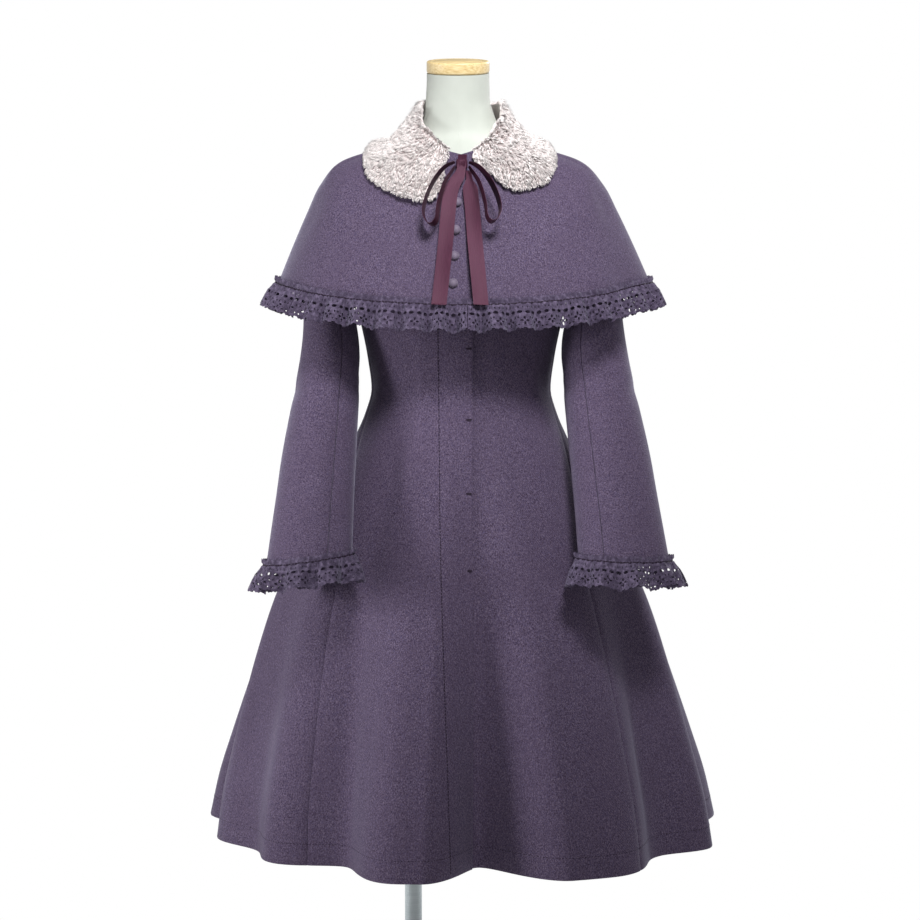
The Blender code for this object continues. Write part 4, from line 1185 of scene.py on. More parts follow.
class COAT_OT_sleeves(bpy.types.Operator):
    """Makes the upper and under sleeves"""

    bl_idname = "cape_coat.sleeves"
    bl_label = "Sleeves"

    def execute(self, context):
        depth = context.scene.coat_look.crease
        for pose in SLEEVE_POSES:

            def whole(turn, s, pose=pose):
                return sleeve_point(turn, s, pose)

            for part, first, last, columns, seam in (
                ("upper", SLEEVE_SEAM_BACK - 2 * math.pi, SLEEVE_SEAM_FRONT, 56, "sewn"),
                ("under", SLEEVE_SEAM_FRONT, SLEEVE_SEAM_BACK, 36, "tucked"),
            ):

                def turned(u, v, first=first, last=last, whole=whole):
                    start = trimmed(whole, np.full(v.shape, first), v, 1, 2 * SEAM_GAP)
                    end = trimmed(whole, np.full(v.shape, last), v, -1, 2 * SEAM_GAP)
                    return start + (end - start) * u

                def surface(u, v, turned=turned, whole=whole):
                    return whole(turned(u, v), v)

                def lift(u, v, turned=turned):
                    return -depth * creased(SLEEVE_CREASES, np.degrees(turned(u, v)), v)

                node = f"sleeve_{part}_{pose.name}"
                shape, seams = (columns, 90), (seam, seam)
                wool_panel(context, node, surface, shape, pose.side, lift, seams)
        return {"FINISHED"}


class COAT_OT_cape(bpy.types.Operator):
    """Makes the cape's two fronts and its back"""

    bl_idname = "cape_coat.cape"
    bl_label = "Cape"

    def execute(self, context):
        depth = context.scene.coat_look.crease
        for node, first, last, columns, lapped, seams in (
            ("cape_front_right", CAPE_EDGE, -SIDE_ANGLE, 60, True, ("free", "sewn")),
            ("cape_front_left", -CAPE_UNDERLAP, SIDE_ANGLE, 60, False, ("free", "sewn")),
            ("cape_back", SIDE_ANGLE, 3 * SIDE_ANGLE, 100, False, ("tucked", "tucked")),
        ):
            way = 1 if last > first else -1

            def turned(u, v, first=first, last=last, way=way):
                start = trimmed(cape_point, np.full(v.shape, first), v, way)
                end = trimmed(cape_point, np.full(v.shape, last), v, -way)
                return start + (end - start) * u

            def surface(u, v, turned=turned):
                return cape_point(turned(u, v), v)

            def lift(u, v, turned=turned, lapped=lapped):
                angle = turned(u, v)
                pressed = depth * creased(CAPE_CREASES, np.degrees(angle), v) * ease(0.25, 0.5, v)
                return (cape_lift(angle) if lapped else 0.0) - pressed

            wool_panel(context, node, surface, (columns, 64), -way, lift, seams)
        return {"FINISHED"}


# Lace


def lace_outline(along):
    """How far the lace's scalloped, picoted edge drops at a place along the repeat."""
    scallop = 0.0022 * np.abs(np.sin(np.pi * along / (LACE_REPEAT / 2)))
    picot = 0.0006 * np.cos(2 * np.pi * along / (LACE_REPEAT / 6))
    return LACE_DROP - 0.0024 + scallop + picot


def hole_ring(hole, grown):
    """The points round a hole, its outline grown by a distance."""
    turns = np.linspace(0, 2 * np.pi, hole.corners, endpoint=False)
    along, drop = (hole.half_along + grown) * np.cos(turns), (hole.half_drop + grown) * np.sin(turns)
    cosine, sine = math.cos(math.radians(hole.turn)), math.sin(math.radians(hole.turn))
    return np.stack(
        (hole.along + along * cosine - drop * sine, hole.drop + along * sine + drop * cosine), axis=-1
    )


def inside(points, polygon):
    """Which points lie inside a polygon."""
    found = np.zeros(len(points), bool)
    for (x0, y0), (x1, y1) in zip(polygon, np.roll(polygon, -1, axis=0)):
        crosses = (y0 > points[:, 1]) != (y1 > points[:, 1])
        slope = (x1 - x0) / (y1 - y0) if y1 != y0 else 0.0
        found ^= crosses & (points[:, 0] < x0 + slope * (points[:, 1] - y0))
    return found


def lace_repeat():
    """One flat repeat of the lace: its points as (along, drop), its triangles and each point's rise."""
    along = np.linspace(0, LACE_REPEAT, 25)
    drops = np.linspace(-LACE_HEADING, LACE_DROP - 0.0036, 17)
    frill = 0.0010 * (1 + np.cos(2 * np.pi * along / (LACE_REPEAT / 6)))
    top = np.stack((along, -LACE_HEADING + frill), axis=-1)
    bottom = np.stack((along, lace_outline(along)), axis=-1)
    sides = np.stack((np.zeros(15), drops[1:-1]), axis=-1)
    border = np.concatenate((top, sides + (LACE_REPEAT, 0), bottom[::-1], sides[::-1]))
    points, rises = [border], [np.zeros(len(border))]
    edges = [(k, (k + 1) % len(border)) for k in range(len(border))]
    holes, count = [], len(border)
    for hole in LACE_HOLES:
        rim = hole_ring(hole, 0.0)
        holes.append(rim)
        points.append(rim)
        rises.append(np.full(len(rim), 0.5 if hole.rimmed else 0.2))
        edges += [(count + k, count + (k + 1) % len(rim)) for k in range(len(rim))]
        count += len(rim)
        if hole.rimmed:
            for grown, rise in ((0.00055, 1.0), (0.0012, 0.0)):
                points.append(hole_ring(hole, grown))
                rises.append(np.full(hole.corners, rise))
                count += hole.corners
    columns = np.arange(0.0015, LACE_REPEAT - 0.001, 0.0021)
    filling = np.stack(np.meshgrid(columns, drops[1:-1]), axis=-1).reshape(-1, 2)
    clear = np.ones(len(filling), bool)
    for hole in LACE_HOLES:
        clear &= ~inside(filling, hole_ring(hole, 0.0017 if hole.rimmed else 0.0007))
    points.append(filling[clear])
    rises.append(np.zeros(clear.sum()))
    flat, rise = np.concatenate(points), np.concatenate(rises)
    made = delaunay_2d_cdt([Vector(p) for p in flat], edges, [], 0, 1e-7)
    flat_out = np.array([tuple(p) for p in made[0]])
    source = np.array([own[0] if own else 0 for own in made[3]])
    triangles = np.array(made[2])
    middles = flat_out[triangles].mean(axis=1)
    kept = inside(middles, border)
    for rim in holes:
        kept &= ~inside(middles, rim)
    return flat_out, triangles[kept], rise[source]


def lace_edge_cape(share):
    """The cape's hem, starting and ending at the front edge of the right front."""
    angle = wrapped(CAPE_EDGE - 2 * math.pi * share)
    ending = FRONT_LIFT * ease(0.9, 0.97, share) * 0.5
    near_end = np.where(share < 0.5, cape_lift(angle), ending)
    slope = unit(cape_point(angle, 1.0) - cape_point(angle, 0.97))
    down = unit(slope * (1 - LACE_HANG) + np.array((0, 0, -1)) * LACE_HANG)
    out = normal_of(cape_point, angle, np.full(angle.shape, 0.985), -1)
    sewn = cape_point(angle, 1.0) - slope * LACE_GATHER_ABOVE_EDGE + out * near_end[..., None]
    return sewn, slope, down, out


def lace_edge_cuff(pose):
    """A cuff's edge, starting and ending at the outside of the arm."""

    def edge(share):
        turn = -2 * math.pi * share * pose.side
        end = sleeve_point(turn, 1.0, pose)
        slope = unit(end - sleeve_point(turn, 0.96, pose))
        hang = np.array((0, -0.25, -1)) / math.hypot(0.25, 1)
        down = unit(slope * (1 - LACE_HANG) + hang * LACE_HANG)
        out = normal_of(lambda a, b: sleeve_point(a, b, pose), turn, np.full(turn.shape, 0.98), pose.side)
        return end - slope * LACE_GATHER_ABOVE_EDGE, slope, down, out

    return edge


def gathered(edge, waves, wave, drop, proud):
    """Points of gathered lace, by wave along the edge and drop below the gathering line."""
    share = np.linspace(-0.02, 1.02, int(waves * 24))
    lines = edge(share)

    def read(line):
        return np.stack([np.interp(wave / waves, share, line[:, k]) for k in range(3)], axis=-1)

    point, slope, down, out = (read(line) for line in lines)
    uneven = 0.22 * np.sin(2.1 * wave) + 0.16 * np.sin(0.9 * wave + 1.0)
    fullness = 1 + 0.18 * np.sin(1.7 * wave + 0.6)
    turn = wave + 0.25 * uneven * np.sin(2 * np.pi * wave)
    crest = 2 * ((1 + np.cos(2 * np.pi * turn)) / 2) ** LACE_CREST
    ripple = 0.12 * np.sin(6 * np.pi * turn + 5 * uneven) * ease(0.0, LACE_DROP, drop)
    near = np.exp(-((drop / LACE_FLUTE_DROP) ** 2)) * ease(0.0, 0.003, np.abs(drop))
    flutes = LACE_FLUTE * (1 + np.cos(2 * np.pi * (LACE_FLUTES * turn + uneven))) * near
    swing = column(LACE_ROWS, "wave", drop) * fullness * (crest + ripple)
    away = WOOL / 2 + 3 * SEAM_GAP + LACE / 2 + swing + flutes
    hung = np.where((drop < 0)[..., None], slope, down) * drop[..., None]
    return point + hung + out * (away + proud)[..., None], out


def lace_runs():
    """Each sewn stretch of lace: its node, its edge, the whole edge's waves, and its first and last wave."""
    quarter, half = CAPE_WAVES / 4, CUFF_WAVES / 2
    runs = []
    for k, name in enumerate(("front_right", "back_right", "back_left", "front_left")):
        first, last = quarter * k + 0.012, quarter * (k + 1) - 0.012
        runs.append((f"cape_lace_{name}", lace_edge_cape, CAPE_WAVES, first, last))
    for pose in SLEEVE_POSES:
        edge = lace_edge_cuff(pose)
        runs.append((f"cuff_lace_front_{pose.name}", edge, CUFF_WAVES, 0.004, half - 0.004))
        runs.append((f"cuff_lace_back_{pose.name}", edge, CUFF_WAVES, half + 0.004, CUFF_WAVES - 0.004))
    return runs


class COAT_OT_lace(bpy.types.Operator):
    """Makes the gathered lace of the cape's hem and the cuffs"""

    bl_idname = "cape_coat.lace"
    bl_label = "Lace"

    def execute(self, context):
        look = context.scene.lace_look
        material = lace_material(look)
        repeat = lace_repeat()
        for run in lace_runs():
            self.run(look, material, repeat, *run)
        return {"FINISHED"}

    def run(self, look, material, repeat, node, edge, waves, first, last):
        """One sewn stretch of lace, in whole repeats along the stretch's own gathered length."""
        points, triangles, rise = repeat
        wave = np.linspace(first, last, int((last - first) * 60))
        low = np.full(wave.shape, 0.75 * LACE_DROP)
        line, _ = gathered(edge, waves, wave, low, 0.0)
        length = arc_lengths(line, 0)
        repeats = max(1, round(float(length[-1]) / LACE_REPEAT))
        stretch = float(length[-1]) / (repeats * LACE_REPEAT)
        flat = np.concatenate([points + (k * LACE_REPEAT, 0.0) for k in range(repeats)])
        faces = np.concatenate([triangles + k * len(points) for k in range(repeats)])
        _, chosen, places = np.unique(np.round(flat, 7), axis=0, return_index=True, return_inverse=True)
        flat, rises = flat[chosen], np.tile(rise, repeats)[chosen]
        faces = places.reshape(-1)[faces]
        at = np.interp(flat[:, 0] * stretch, length, wave)
        middle, out = gathered(edge, waves, at, flat[:, 1], 0.0)
        half = (LACE_THREAD / 2 + look.rim_rise * rises)[:, None]
        count = len(flat)
        edges = np.concatenate((faces[:, [0, 1]], faces[:, [1, 2]], faces[:, [2, 0]]))
        keys = edges.min(axis=1) * count + edges.max(axis=1)
        _, back, uses = np.unique(keys, return_inverse=True, return_counts=True)
        free = edges[uses[back.reshape(-1)] == 1]
        rims = np.stack((free[:, 1], free[:, 0], free[:, 0] + count, free[:, 1] + count), axis=-1)
        shell = np.concatenate((middle + out * half, middle - out * half))
        all_faces = faces.tolist() + (faces[:, ::-1] + count).tolist() + rims.tolist()
        uv = flat * (stretch, -1.0)
        made = put(f"{node}_thread", shell, outward(shell, all_faces), material, np.concatenate((uv, uv)), 60)
        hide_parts(node)


# Fur


def collar_frame(step, row):
    """The collar's foot on the cape, the way out, its pile's depth and its roll."""
    ends = math.radians(COLLAR_EDGES[0].degrees)
    turned = wrapped(ends + (2 * math.pi - 2 * ends) * step)
    degrees = np.abs(np.degrees(turned))
    reaches = [column(COLLAR_EDGES, name, degrees) for name in ("right", "left")]
    reach = np.where(turned < 0, *reaches)
    shares = np.linspace(0, 0.62, 63)
    fan = np.linspace(-math.pi, math.pi, 361)
    lines = arc_lengths(cape_point(fan[None, :], shares[:, None]), 0)
    place = (turned + math.pi) / (2 * math.pi) * 360
    near = np.minimum(place.astype(int), 359)
    mix = place - near
    run = lines[:, near] * (1 - mix) + lines[:, near + 1] * mix
    wanted = reach * row
    k = np.clip((run < wanted).sum(axis=0) - 1, 0, len(shares) - 2)
    ends_of = np.take_along_axis(run, np.stack((k, k + 1)), axis=0)
    past = (wanted - ends_of[0]) / np.maximum(ends_of[1] - ends_of[0], 1e-9)
    share = shares[k] + past * (shares[1] - shares[0])
    out = normal_of(cape_point, turned, np.maximum(share, 0.002), -1)
    lap = np.where(turned < 0, FRONT_LIFT * ease(math.radians(-34), math.radians(-22), turned), 0.0)
    base = cape_point(turned, share) + out * (COLLAR_LIFT + lap)[..., None]
    rounding = np.sqrt(np.maximum(0.0, 1 - np.abs(2 * row - 1) ** 3))
    ending = np.sqrt(ease(-0.01, 0.08, np.minimum(step, 1 - step) * 2))
    roll = np.maximum(0.0, 1 - row / COLLAR_ROLL) ** 2 * column(COLLAR_EDGES, "stand", degrees)
    inward = unit(base * (-1, -1, 0)) * 0.47
    rise = (inward + (0, 0, 1)) * roll[..., None]
    return base, out, COLLAR_THINNEST + (COLLAR_PILE - COLLAR_THINNEST) * rounding * ending, rise


class COAT_OT_collar(bpy.types.Operator):
    """Makes the fur collar: its skin and three stretches of combed pile"""

    bl_idname = "cape_coat.collar"
    bl_label = "Fur collar"

    def execute(self, context):
        look = context.scene.fur_look
        material = fur_material(look)
        step, row = np.meshgrid(np.linspace(0.006, 0.994, 180), np.linspace(0.0, 0.95, 28))
        shape = step.shape
        frames = collar_frame(step.ravel(), row.ravel())
        under, out, pile, rise = (part.reshape(*shape, -1) for part in frames)
        top = under + out * pile * COLLAR_SKIN_SHARE + rise * COLLAR_ROLL_KEPT
        points = np.concatenate((top.reshape(-1, 3), under.reshape(-1, 3)))
        faces = outward(points, wall_faces(*shape))
        skin = put("fur_collar_skin", points, faces, material, smooth_degrees=80)
        self.tone(skin, np.zeros(len(points)) + 0.35, np.zeros(len(points)) + 0.3)
        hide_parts("fur_collar")
        piles = self.pile(look, material)
        flat = (float(arc_lengths(top, 0)[-1].max()), float(arc_lengths(top, 1)[:, -1].max()))
        return {"FINISHED"}

    def tone(self, piece, length, lively):
        """Stores each point's place along its lock and its lock's own tone."""
        stored = piece.data.attributes.new("pile_tone", "FLOAT_COLOR", "POINT")
        values = np.stack((length, lively, np.zeros(len(length)), np.ones(len(length))), axis=-1)
        stored.data.foreach_set("color", values.ravel())

    def skin(self, step, row):
        """The skin's upper surface, where the locks are rooted."""
        base, out, pile, rise = collar_frame(step, row)
        return base + out * (pile * COLLAR_SKIN_SHARE)[..., None] + rise * COLLAR_ROLL_KEPT

    def pile(self, look, material):
        """Locks rooted in the skin, combed towards the collar's edge and drawn together into tufts."""
        chance = np.random.default_rng(11)
        count = look.locks
        edging = count // 12
        step, row = chance.uniform(0.002, 0.998, count), chance.uniform(0.0, 0.91, count)
        row[:edging] = chance.uniform(0.0, 0.01, edging)
        row[edging : 3 * edging] = chance.uniform(0.86, 0.975, 2 * edging)
        cells = np.floor(step * TUFTS_ROUND) + TUFTS_ROUND * np.floor(row * TUFTS_DEEP)
        jitter = chance.uniform(0.15, 0.85, (2, TUFTS_ROUND * (TUFTS_DEEP + 1)))[:, cells.astype(int)]
        tuft_step = (np.floor(step * TUFTS_ROUND) + jitter[0]) / TUFTS_ROUND
        tuft_row = (np.floor(row * TUFTS_DEEP) + jitter[1]) / TUFTS_DEEP
        starts, ways, ends = [], [], []
        for at_step, at_row in ((step, row), (tuft_step, tuft_row)):
            root = self.skin(at_step, at_row)
            ahead = unit(self.skin(at_step + 1e-3, at_row) - self.skin(at_step - 1e-3, at_row))
            comb = unit(self.skin(at_step, at_row + 0.01) - self.skin(at_step, np.abs(at_row - 0.01)))
            out = -unit(np.cross(ahead, comb))
            wave = np.sin(95 * at_step + 3 * np.sin(17 * at_row))
            wave = wave * np.sin(31 * at_row + 5 * np.sin(40 * at_step))
            near_ends = ease(0.975, 1.0, at_step) - ease(0.025, 0.0, at_step)
            lean = 0.85 + 0.25 * np.sin(63 * at_step + 9 * at_row) - 1.2 * ease(0.05, 0.0, at_row)
            way = unit(out * 0.62 + comb * lean[:, None] + ahead * (0.30 * wave + 0.7 * near_ends)[:, None])
            starts.append(root)
            ways.append(unit(way + chance.normal(0, 0.10, (count, 3)) * (at_step is step)))
            ends.append(unit(way + comb * 0.5 - out * 0.35))
        length = look.length * chance.uniform(0.70, 1.10, count) * (0.9 + 0.1 * wave)
        length *= 0.40 + 0.60 * ease(1.0, 0.70, row) * np.minimum(1.0, 0.3 + 12 * np.minimum(step, 1 - step))
        root, way, across = starts[0], ways[0], unit(np.cross(ways[0], ends[0]))
        middle = root + way * (length * 0.55)[:, None]
        tip = middle + ends[0] * (length * 0.45)[:, None]
        tuft = starts[1] + (ways[1] * 0.55 + ends[1] * 0.45) * length[:, None]
        middle = middle + (tuft - tip) * 0.12
        tip = tip + (tuft - tip) * 0.35
        over = np.cross(across, way)
        lively = np.clip(0.5 + 0.35 * wave + chance.normal(0, 0.18, count), 0, 1)
        piles = []
        for name, low, high in (("right", 2 / 3, 1.0), ("back", 1 / 3, 2 / 3), ("left", 0.0, 1 / 3)):
            chosen = np.flatnonzero((step >= low) & (step < high))
            rings = []
            for centre, breadth in ((root, look.breadth), (middle, look.breadth * 0.72)):
                for turn in (0.5, 2.594, 4.689):
                    spoke = across[chosen] * math.cos(turn) + over[chosen] * math.sin(turn)
                    rings.append(centre[chosen] + spoke * breadth / 2)
            rings.append(tip[chosen])
            size = len(chosen)
            points = np.stack(rings, axis=1).reshape(-1, 3)
            lock = [(0, 1, 4, 3), (1, 2, 5, 4), (2, 0, 3, 5), (3, 4, 6), (4, 5, 6), (5, 3, 6), (2, 1, 0)]
            starts = np.arange(size)[:, None] * 7
            faces = [f for face in lock for f in (starts + np.array(face)).tolist()]
            faces = outward(points, faces)
            made = put(f"fur_collar_pile_{name}", points, faces, material, smooth_degrees=180)
            along = np.tile((0.0, 0.0, 0.0, 0.6, 0.6, 0.6, 1.0), size)
            self.tone(made, along, np.repeat(lively[chosen], 7))
            piles.append(made)
        return piles


# Bow


def ribbon(name, path, ways, widths, material, cup=0.0):
    """A satin strip along a path, cupped a little across, with its weave's coordinates in metres."""
    across = np.linspace(-0.5, 0.5, 9)
    before = np.concatenate((path[:1], path[:-1]))
    after = np.concatenate((path[1:], path[-1:]))
    ways = unit(ways)
    facing = unit(np.cross(unit(after - before), ways))
    middle = path[:, None] + ways[:, None] * (widths[:, None] * across)[..., None]
    middle = middle + facing[:, None] * (cup * (across**2 * 4 - 1))[None, :, None]
    normal = np.broadcast_to(facing[:, None], middle.shape)
    made, flat, _ = cloth(f"{name}_satin", middle, normal, RIBBON, material)
    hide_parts(name)
    return made, flat, min(grid_area(middle), flat[0] * flat[1])


class COAT_OT_bow(bpy.types.Operator):
    """Makes the bow's loops, tails and wrapped knot"""

    bl_idname = "cape_coat.bow"
    bl_label = "Ribbon bow"

    def execute(self, context):
        material = satin_material(context.scene.ribbon_look)
        shares = np.linspace(0, 1, LOOP_STEPS)
        places = np.linspace(0, 1, len(LOOP_POINTS))
        for loop in BOW_LOOPS:
            bends = np.array([(loop.side * p.out, -p.forward, -p.drop * loop.length) for p in LOOP_POINTS])
            path = through(np.repeat((bends + KNOT_CENTRE)[:, None], LOOP_STEPS, axis=1), shares)
            widths = RIBBON_WIDTH * np.interp(shares, places, [p.width for p in LOOP_POINTS])
            even = np.ones(LOOP_STEPS)
            ways = np.stack((0.20 * loop.side + 0.05 * np.sin(7 * shares), -even, 0.25 * even), axis=-1)
            made, flat, area = ribbon(loop.name, path, ways, widths, material)
        for tail in BOW_TAILS:
            shares = np.linspace(0, 1, TAIL_STEPS)
            height = tail.top + (tail.bottom - tail.top) * shares
            aside = tail.sidestep * ease(0.06, 0.25, shares)
            slant = tail.bottom_x - tail.top_x - tail.sidestep
            angle, s = cape_at(tail.top_x + aside + slant * shares, height)
            clear = TAIL_CLEARANCE - tail.tuck * (1 - shares) ** TAIL_TUCK_POWER + TAIL_SWING * shares**2
            clear = clear + 0.0012 * np.sin(9 * shares + tail.bottom_x * 60) * ease(0.1, 0.4, shares)
            path = cape_point(angle, s) + normal_of(cape_point, angle, s, -1) * clear[:, None]
            turn = 0.10 * np.sin(6 * shares + tail.top_x * 300)
            ways = np.stack((np.ones(TAIL_STEPS), turn, 0.06 * np.sin(4 * shares)), axis=-1)
            widths = RIBBON_WIDTH * (tail.top_width + (1 - tail.top_width) * ease(0.07, 0.16, shares))
            made, flat, area = ribbon(tail.name, path, ways, widths, material, TAIL_CUP)
        self.knot(context, material)
        return {"FINISHED"}

    def knot(self, context, material):
        """The knot: a cube rounded by bevels and pinched round its waist like a wrapped turn of ribbon."""
        fresh_object(context)
        bpy.ops.mesh.primitive_cube_add(size=1.0)
        made = context.object
        made.scale = KNOT_SIZE
        bpy.ops.object.transform_apply(location=False, rotation=False, scale=True)
        bpy.ops.object.mode_set(mode="EDIT")
        bpy.ops.mesh.select_all(action="SELECT")
        bpy.ops.mesh.bevel(offset=0.0045, segments=4, affect="EDGES")
        bpy.ops.mesh.subdivide(number_cuts=2, smoothness=0.4)
        bpy.ops.object.mode_set(mode="OBJECT")
        for point in made.data.vertices:
            crease = 0.0007 * math.cos(point.co.x * 1100) * math.exp(-((point.co.z / 0.006) ** 2))
            point.co.y += crease if point.co.y < 0 else 0.0
        made.location = KNOT_CENTRE
        settle(context, made, "bow_knot_wrap", material, "wine_ribbon", "bow_knot")


# Hard pieces, modelled by hand


def fresh_object(context):
    """Leaves edit mode with nothing selected, ready for a new primitive."""
    if context.object and context.object.mode != "OBJECT":
        bpy.ops.object.mode_set(mode="OBJECT")
    bpy.ops.object.select_all(action="DESELECT")


def settle(context, made, name, material, slot, *nodes):
    """Applies a piece's place, names it, gives it its material and rides it on the garment's body."""
    bpy.ops.object.transform_apply(location=True, rotation=True, scale=True)
    made.name = made.data.name = name
    made.data.materials.clear()
    made.data.materials.append(material)
    bpy.ops.object.shade_smooth_by_angle(angle=math.radians(40))
    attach(made, BODY)
    if nodes:
        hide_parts(*nodes)
    return made


def turned_disc(context, vertices, radius, depth, edge, segments):
    """A cylinder with rounded edges, left in edit mode."""
    fresh_object(context)
    bpy.ops.mesh.primitive_cylinder_add(vertices=vertices, radius=radius, depth=depth)
    made = context.object
    bpy.ops.object.mode_set(mode="EDIT")
    bpy.ops.mesh.select_mode(type="EDGE")
    bpy.ops.mesh.select_all(action="DESELECT")
    bpy.ops.mesh.edges_select_sharp(sharpness=math.radians(60))
    bpy.ops.mesh.bevel(offset=edge, segments=segments, affect="EDGES")
    return made


def choose_faces(made, test):
    """Selects the faces whose centre and normal pass a test, in edit mode."""
    bpy.ops.mesh.select_mode(type="FACE")
    bpy.ops.mesh.select_all(action="DESELECT")
    bpy.ops.object.mode_set(mode="OBJECT")
    for face in made.data.polygons:
        face.select = bool(test(face.center, face.normal))
    bpy.ops.object.mode_set(mode="EDIT")


class COAT_OT_buttons(bpy.types.Operator):
    """Makes the cape's four cloth-covered buttons"""

    bl_idname = "cape_coat.buttons"
    bl_label = "Covered buttons"

    def execute(self, context):
        material = lit_button_material(context.scene.coat_look)
        for index in range(BUTTON_COUNT):
            x, height = (top + step * index for top, step in zip(BUTTON_TOP, BUTTON_STEP))
            angle, s = cape_at(x, height)
            out = normal_of(cape_point, angle, s, -1)
            foot = cape_point(angle, s) + out * (cape_lift(angle) + WOOL / 2 + 1.5 * SEAM_GAP)
            fresh_object(context)
            bpy.ops.mesh.primitive_uv_sphere_add(segments=40, ring_count=24, radius=BUTTON_RADIUS)
            made = context.object
            bpy.ops.object.mode_set(mode="EDIT")
            bpy.ops.mesh.select_all(action="SELECT")
            bpy.ops.mesh.bisect(
                plane_co=(0, 0, 0), plane_no=(0, 0, 1), clear_inner=True, use_fill=True, threshold=1e-6
            )
            bpy.ops.mesh.select_all(action="SELECT")
            bpy.ops.transform.resize(value=(1.0, 1.0, (BUTTON_HEIGHT - BUTTON_FOOT) / BUTTON_RADIUS))
            choose_faces(made, lambda centre, normal: normal.z < -0.9)
            bpy.ops.mesh.extrude_region_move(TRANSFORM_OT_translate={"value": (0, 0, -BUTTON_FOOT)})
            bpy.ops.mesh.inset(thickness=BUTTON_FOOT)
            bpy.ops.object.mode_set(mode="OBJECT")
            made.location = Vector(foot) + Vector(out) * BUTTON_FOOT
            made.rotation_mode = "QUATERNION"
            made.rotation_quaternion = Vector(out).to_track_quat("Z", "Y")
            name = f"cape_button_{index + 1}"
            settle(context, made, f"{name}_cover", material, "plum_wool", name)
        return {"FINISHED"}


class COAT_OT_form(bpy.types.Operator):
    """Makes the dress form, its neck cap, its pole and its base"""

    bl_idname = "cape_coat.form"
    bl_label = "Dress form and stand"

    def execute(self, context):
        look = context.scene.form_look
        self.torso(jersey_material(look))
        self.cap(context, beech_material(look))
        self.stand(context, steel_material(look))
        return {"FINISHED"}

    def torso(self, material):
        """The padded torso with its neck, lofted through its rings."""
        count = 112
        angles = np.linspace(0, 2 * math.pi, count, endpoint=False)
        rings = [ring_point(angles, r.half_width, r.front_depth, r.back_depth, r.height) for r in FORM_HIPS]
        for height in FORM_TOP_ROWS:
            inset = float(column(FORM_EASES, "ease", height))
            at = np.full(count, height)
            rings.append(coat_point(angles, at) - normal_of(coat_point, angles, at) * inset)
        lean = np.array((0, -math.sin(NECK_LEAN), math.cos(NECK_LEAN)))
        forward = np.array((0, -math.cos(NECK_LEAN), -math.sin(NECK_LEAN)))
        for share in (1.0, 0.45, 0.0):
            radius = NECK_RADIUS * (1 + 0.06 * share**2)
            spokes = np.sin(angles)[:, None] * (1, 0, 0) + np.cos(angles)[:, None] * forward
            rings.append(NECK_TOP - lean * NECK_COLUMN * share + spokes * radius)
        rings = np.stack(rings)
        steps = np.linspace(0, 1, 6 * (len(rings) - 1) + 1)
        steps = np.repeat(steps[:, None], count, axis=1)
        grid = through(np.repeat(rings[:, None], len(steps), axis=1), steps)
        rows = len(grid)
        index = np.arange(rows * count).reshape(rows, count)
        ahead = np.roll(index, -1, axis=1)
        quads = np.stack((index[:-1], ahead[:-1], ahead[1:], index[1:]), axis=-1).reshape(-1, 4).tolist()
        points = grid.reshape(-1, 3)
        faces = quads + [index[0, ::-1].tolist(), index[-1].tolist()]
        along = arc_lengths(grid, 0).reshape(-1)
        uv = np.stack((np.tile(angles * 0.12, rows), along), axis=-1)
        turned = faces if volume(points, quads) > 0 else [face[::-1] for face in faces]
        made = put("form_torso_jersey", points, turned, material, uv)
        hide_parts("form_torso")

    def cap(self, context, material):
        """The turned cap: a disc with rounded edges and a shallow groove turned in its top."""
        made = turned_disc(context, 96, NECK_RADIUS + SEAM_GAP, CAP_THICKNESS, 0.0030, 5)
        choose_faces(made, lambda centre, normal: normal.z > 0.99)
        bpy.ops.mesh.inset(thickness=0.006)
        bpy.ops.mesh.inset(thickness=0.0012, depth=-0.0010)
        bpy.ops.mesh.inset(thickness=0.0012, depth=0.0010)
        bpy.ops.object.mode_set(mode="OBJECT")
        lean = Vector((0, -math.sin(NECK_LEAN), math.cos(NECK_LEAN)))
        made.location = Vector(NECK_TOP) + lean * (SEAM_GAP + CAP_THICKNESS / 2)
        made.rotation_euler = (NECK_LEAN, 0, 0)
        settle(context, made, "neck_cap_beech", material, "beech", "neck_cap")

    def stand(self, context, material):
        """The pole and the round plate it stands on, with rolled edges."""
        foot, top = BASE_THICKNESS + SEAM_GAP, FORM_HIPS[0].height - SEAM_GAP
        for name, vertices, radius, low, high, x, edge in (
            ("stand_pole", 64, POLE_RADIUS, foot, top, POLE_X, 0.0012),
            ("stand_base", 128, BASE_RADIUS, 0.0, BASE_THICKNESS, 0.0, 0.0035),
        ):
            made = turned_disc(context, vertices, radius, high - low, edge, 4)
            bpy.ops.object.mode_set(mode="OBJECT")
            made.location = (x, 0.0, (low + high) / 2)
            settle(context, made, f"{name}_steel", material, "stand_steel", name)


# Sewing


def stitches(name, places, ways, outs, material, size):
    """Sewn stitches as small rounded bars that lie on the cloth."""
    ways, outs = unit(ways), unit(outs)
    across = unit(np.cross(outs, ways))
    rings = []
    for end, fullness in ((-0.5, 0.35), (-0.3, 1.0), (0.3, 1.0), (0.5, 0.35)):
        for turn in (0.25, 0.75, 1.25, 1.75):
            spoke = across * math.cos(turn * math.pi) + outs * math.sin(turn * math.pi) * 0.7
            rings.append(places + ways * size.length * end + spoke * size.breadth * fullness * 0.7)
    points = np.stack(rings, axis=1).reshape(-1, 3)
    bar = [(3, 2, 1, 0), (12, 13, 14, 15)]
    for ring in range(3):
        for k in range(4):
            a, b = ring * 4 + k, ring * 4 + (k + 1) % 4
            bar.append((a, b, b + 4, a + 4))
    starts = np.arange(len(places))[:, None] * 16
    faces = [f for face in bar for f in (starts + np.array(face)).tolist()]
    made = put(name, points, outward(points, faces), material)


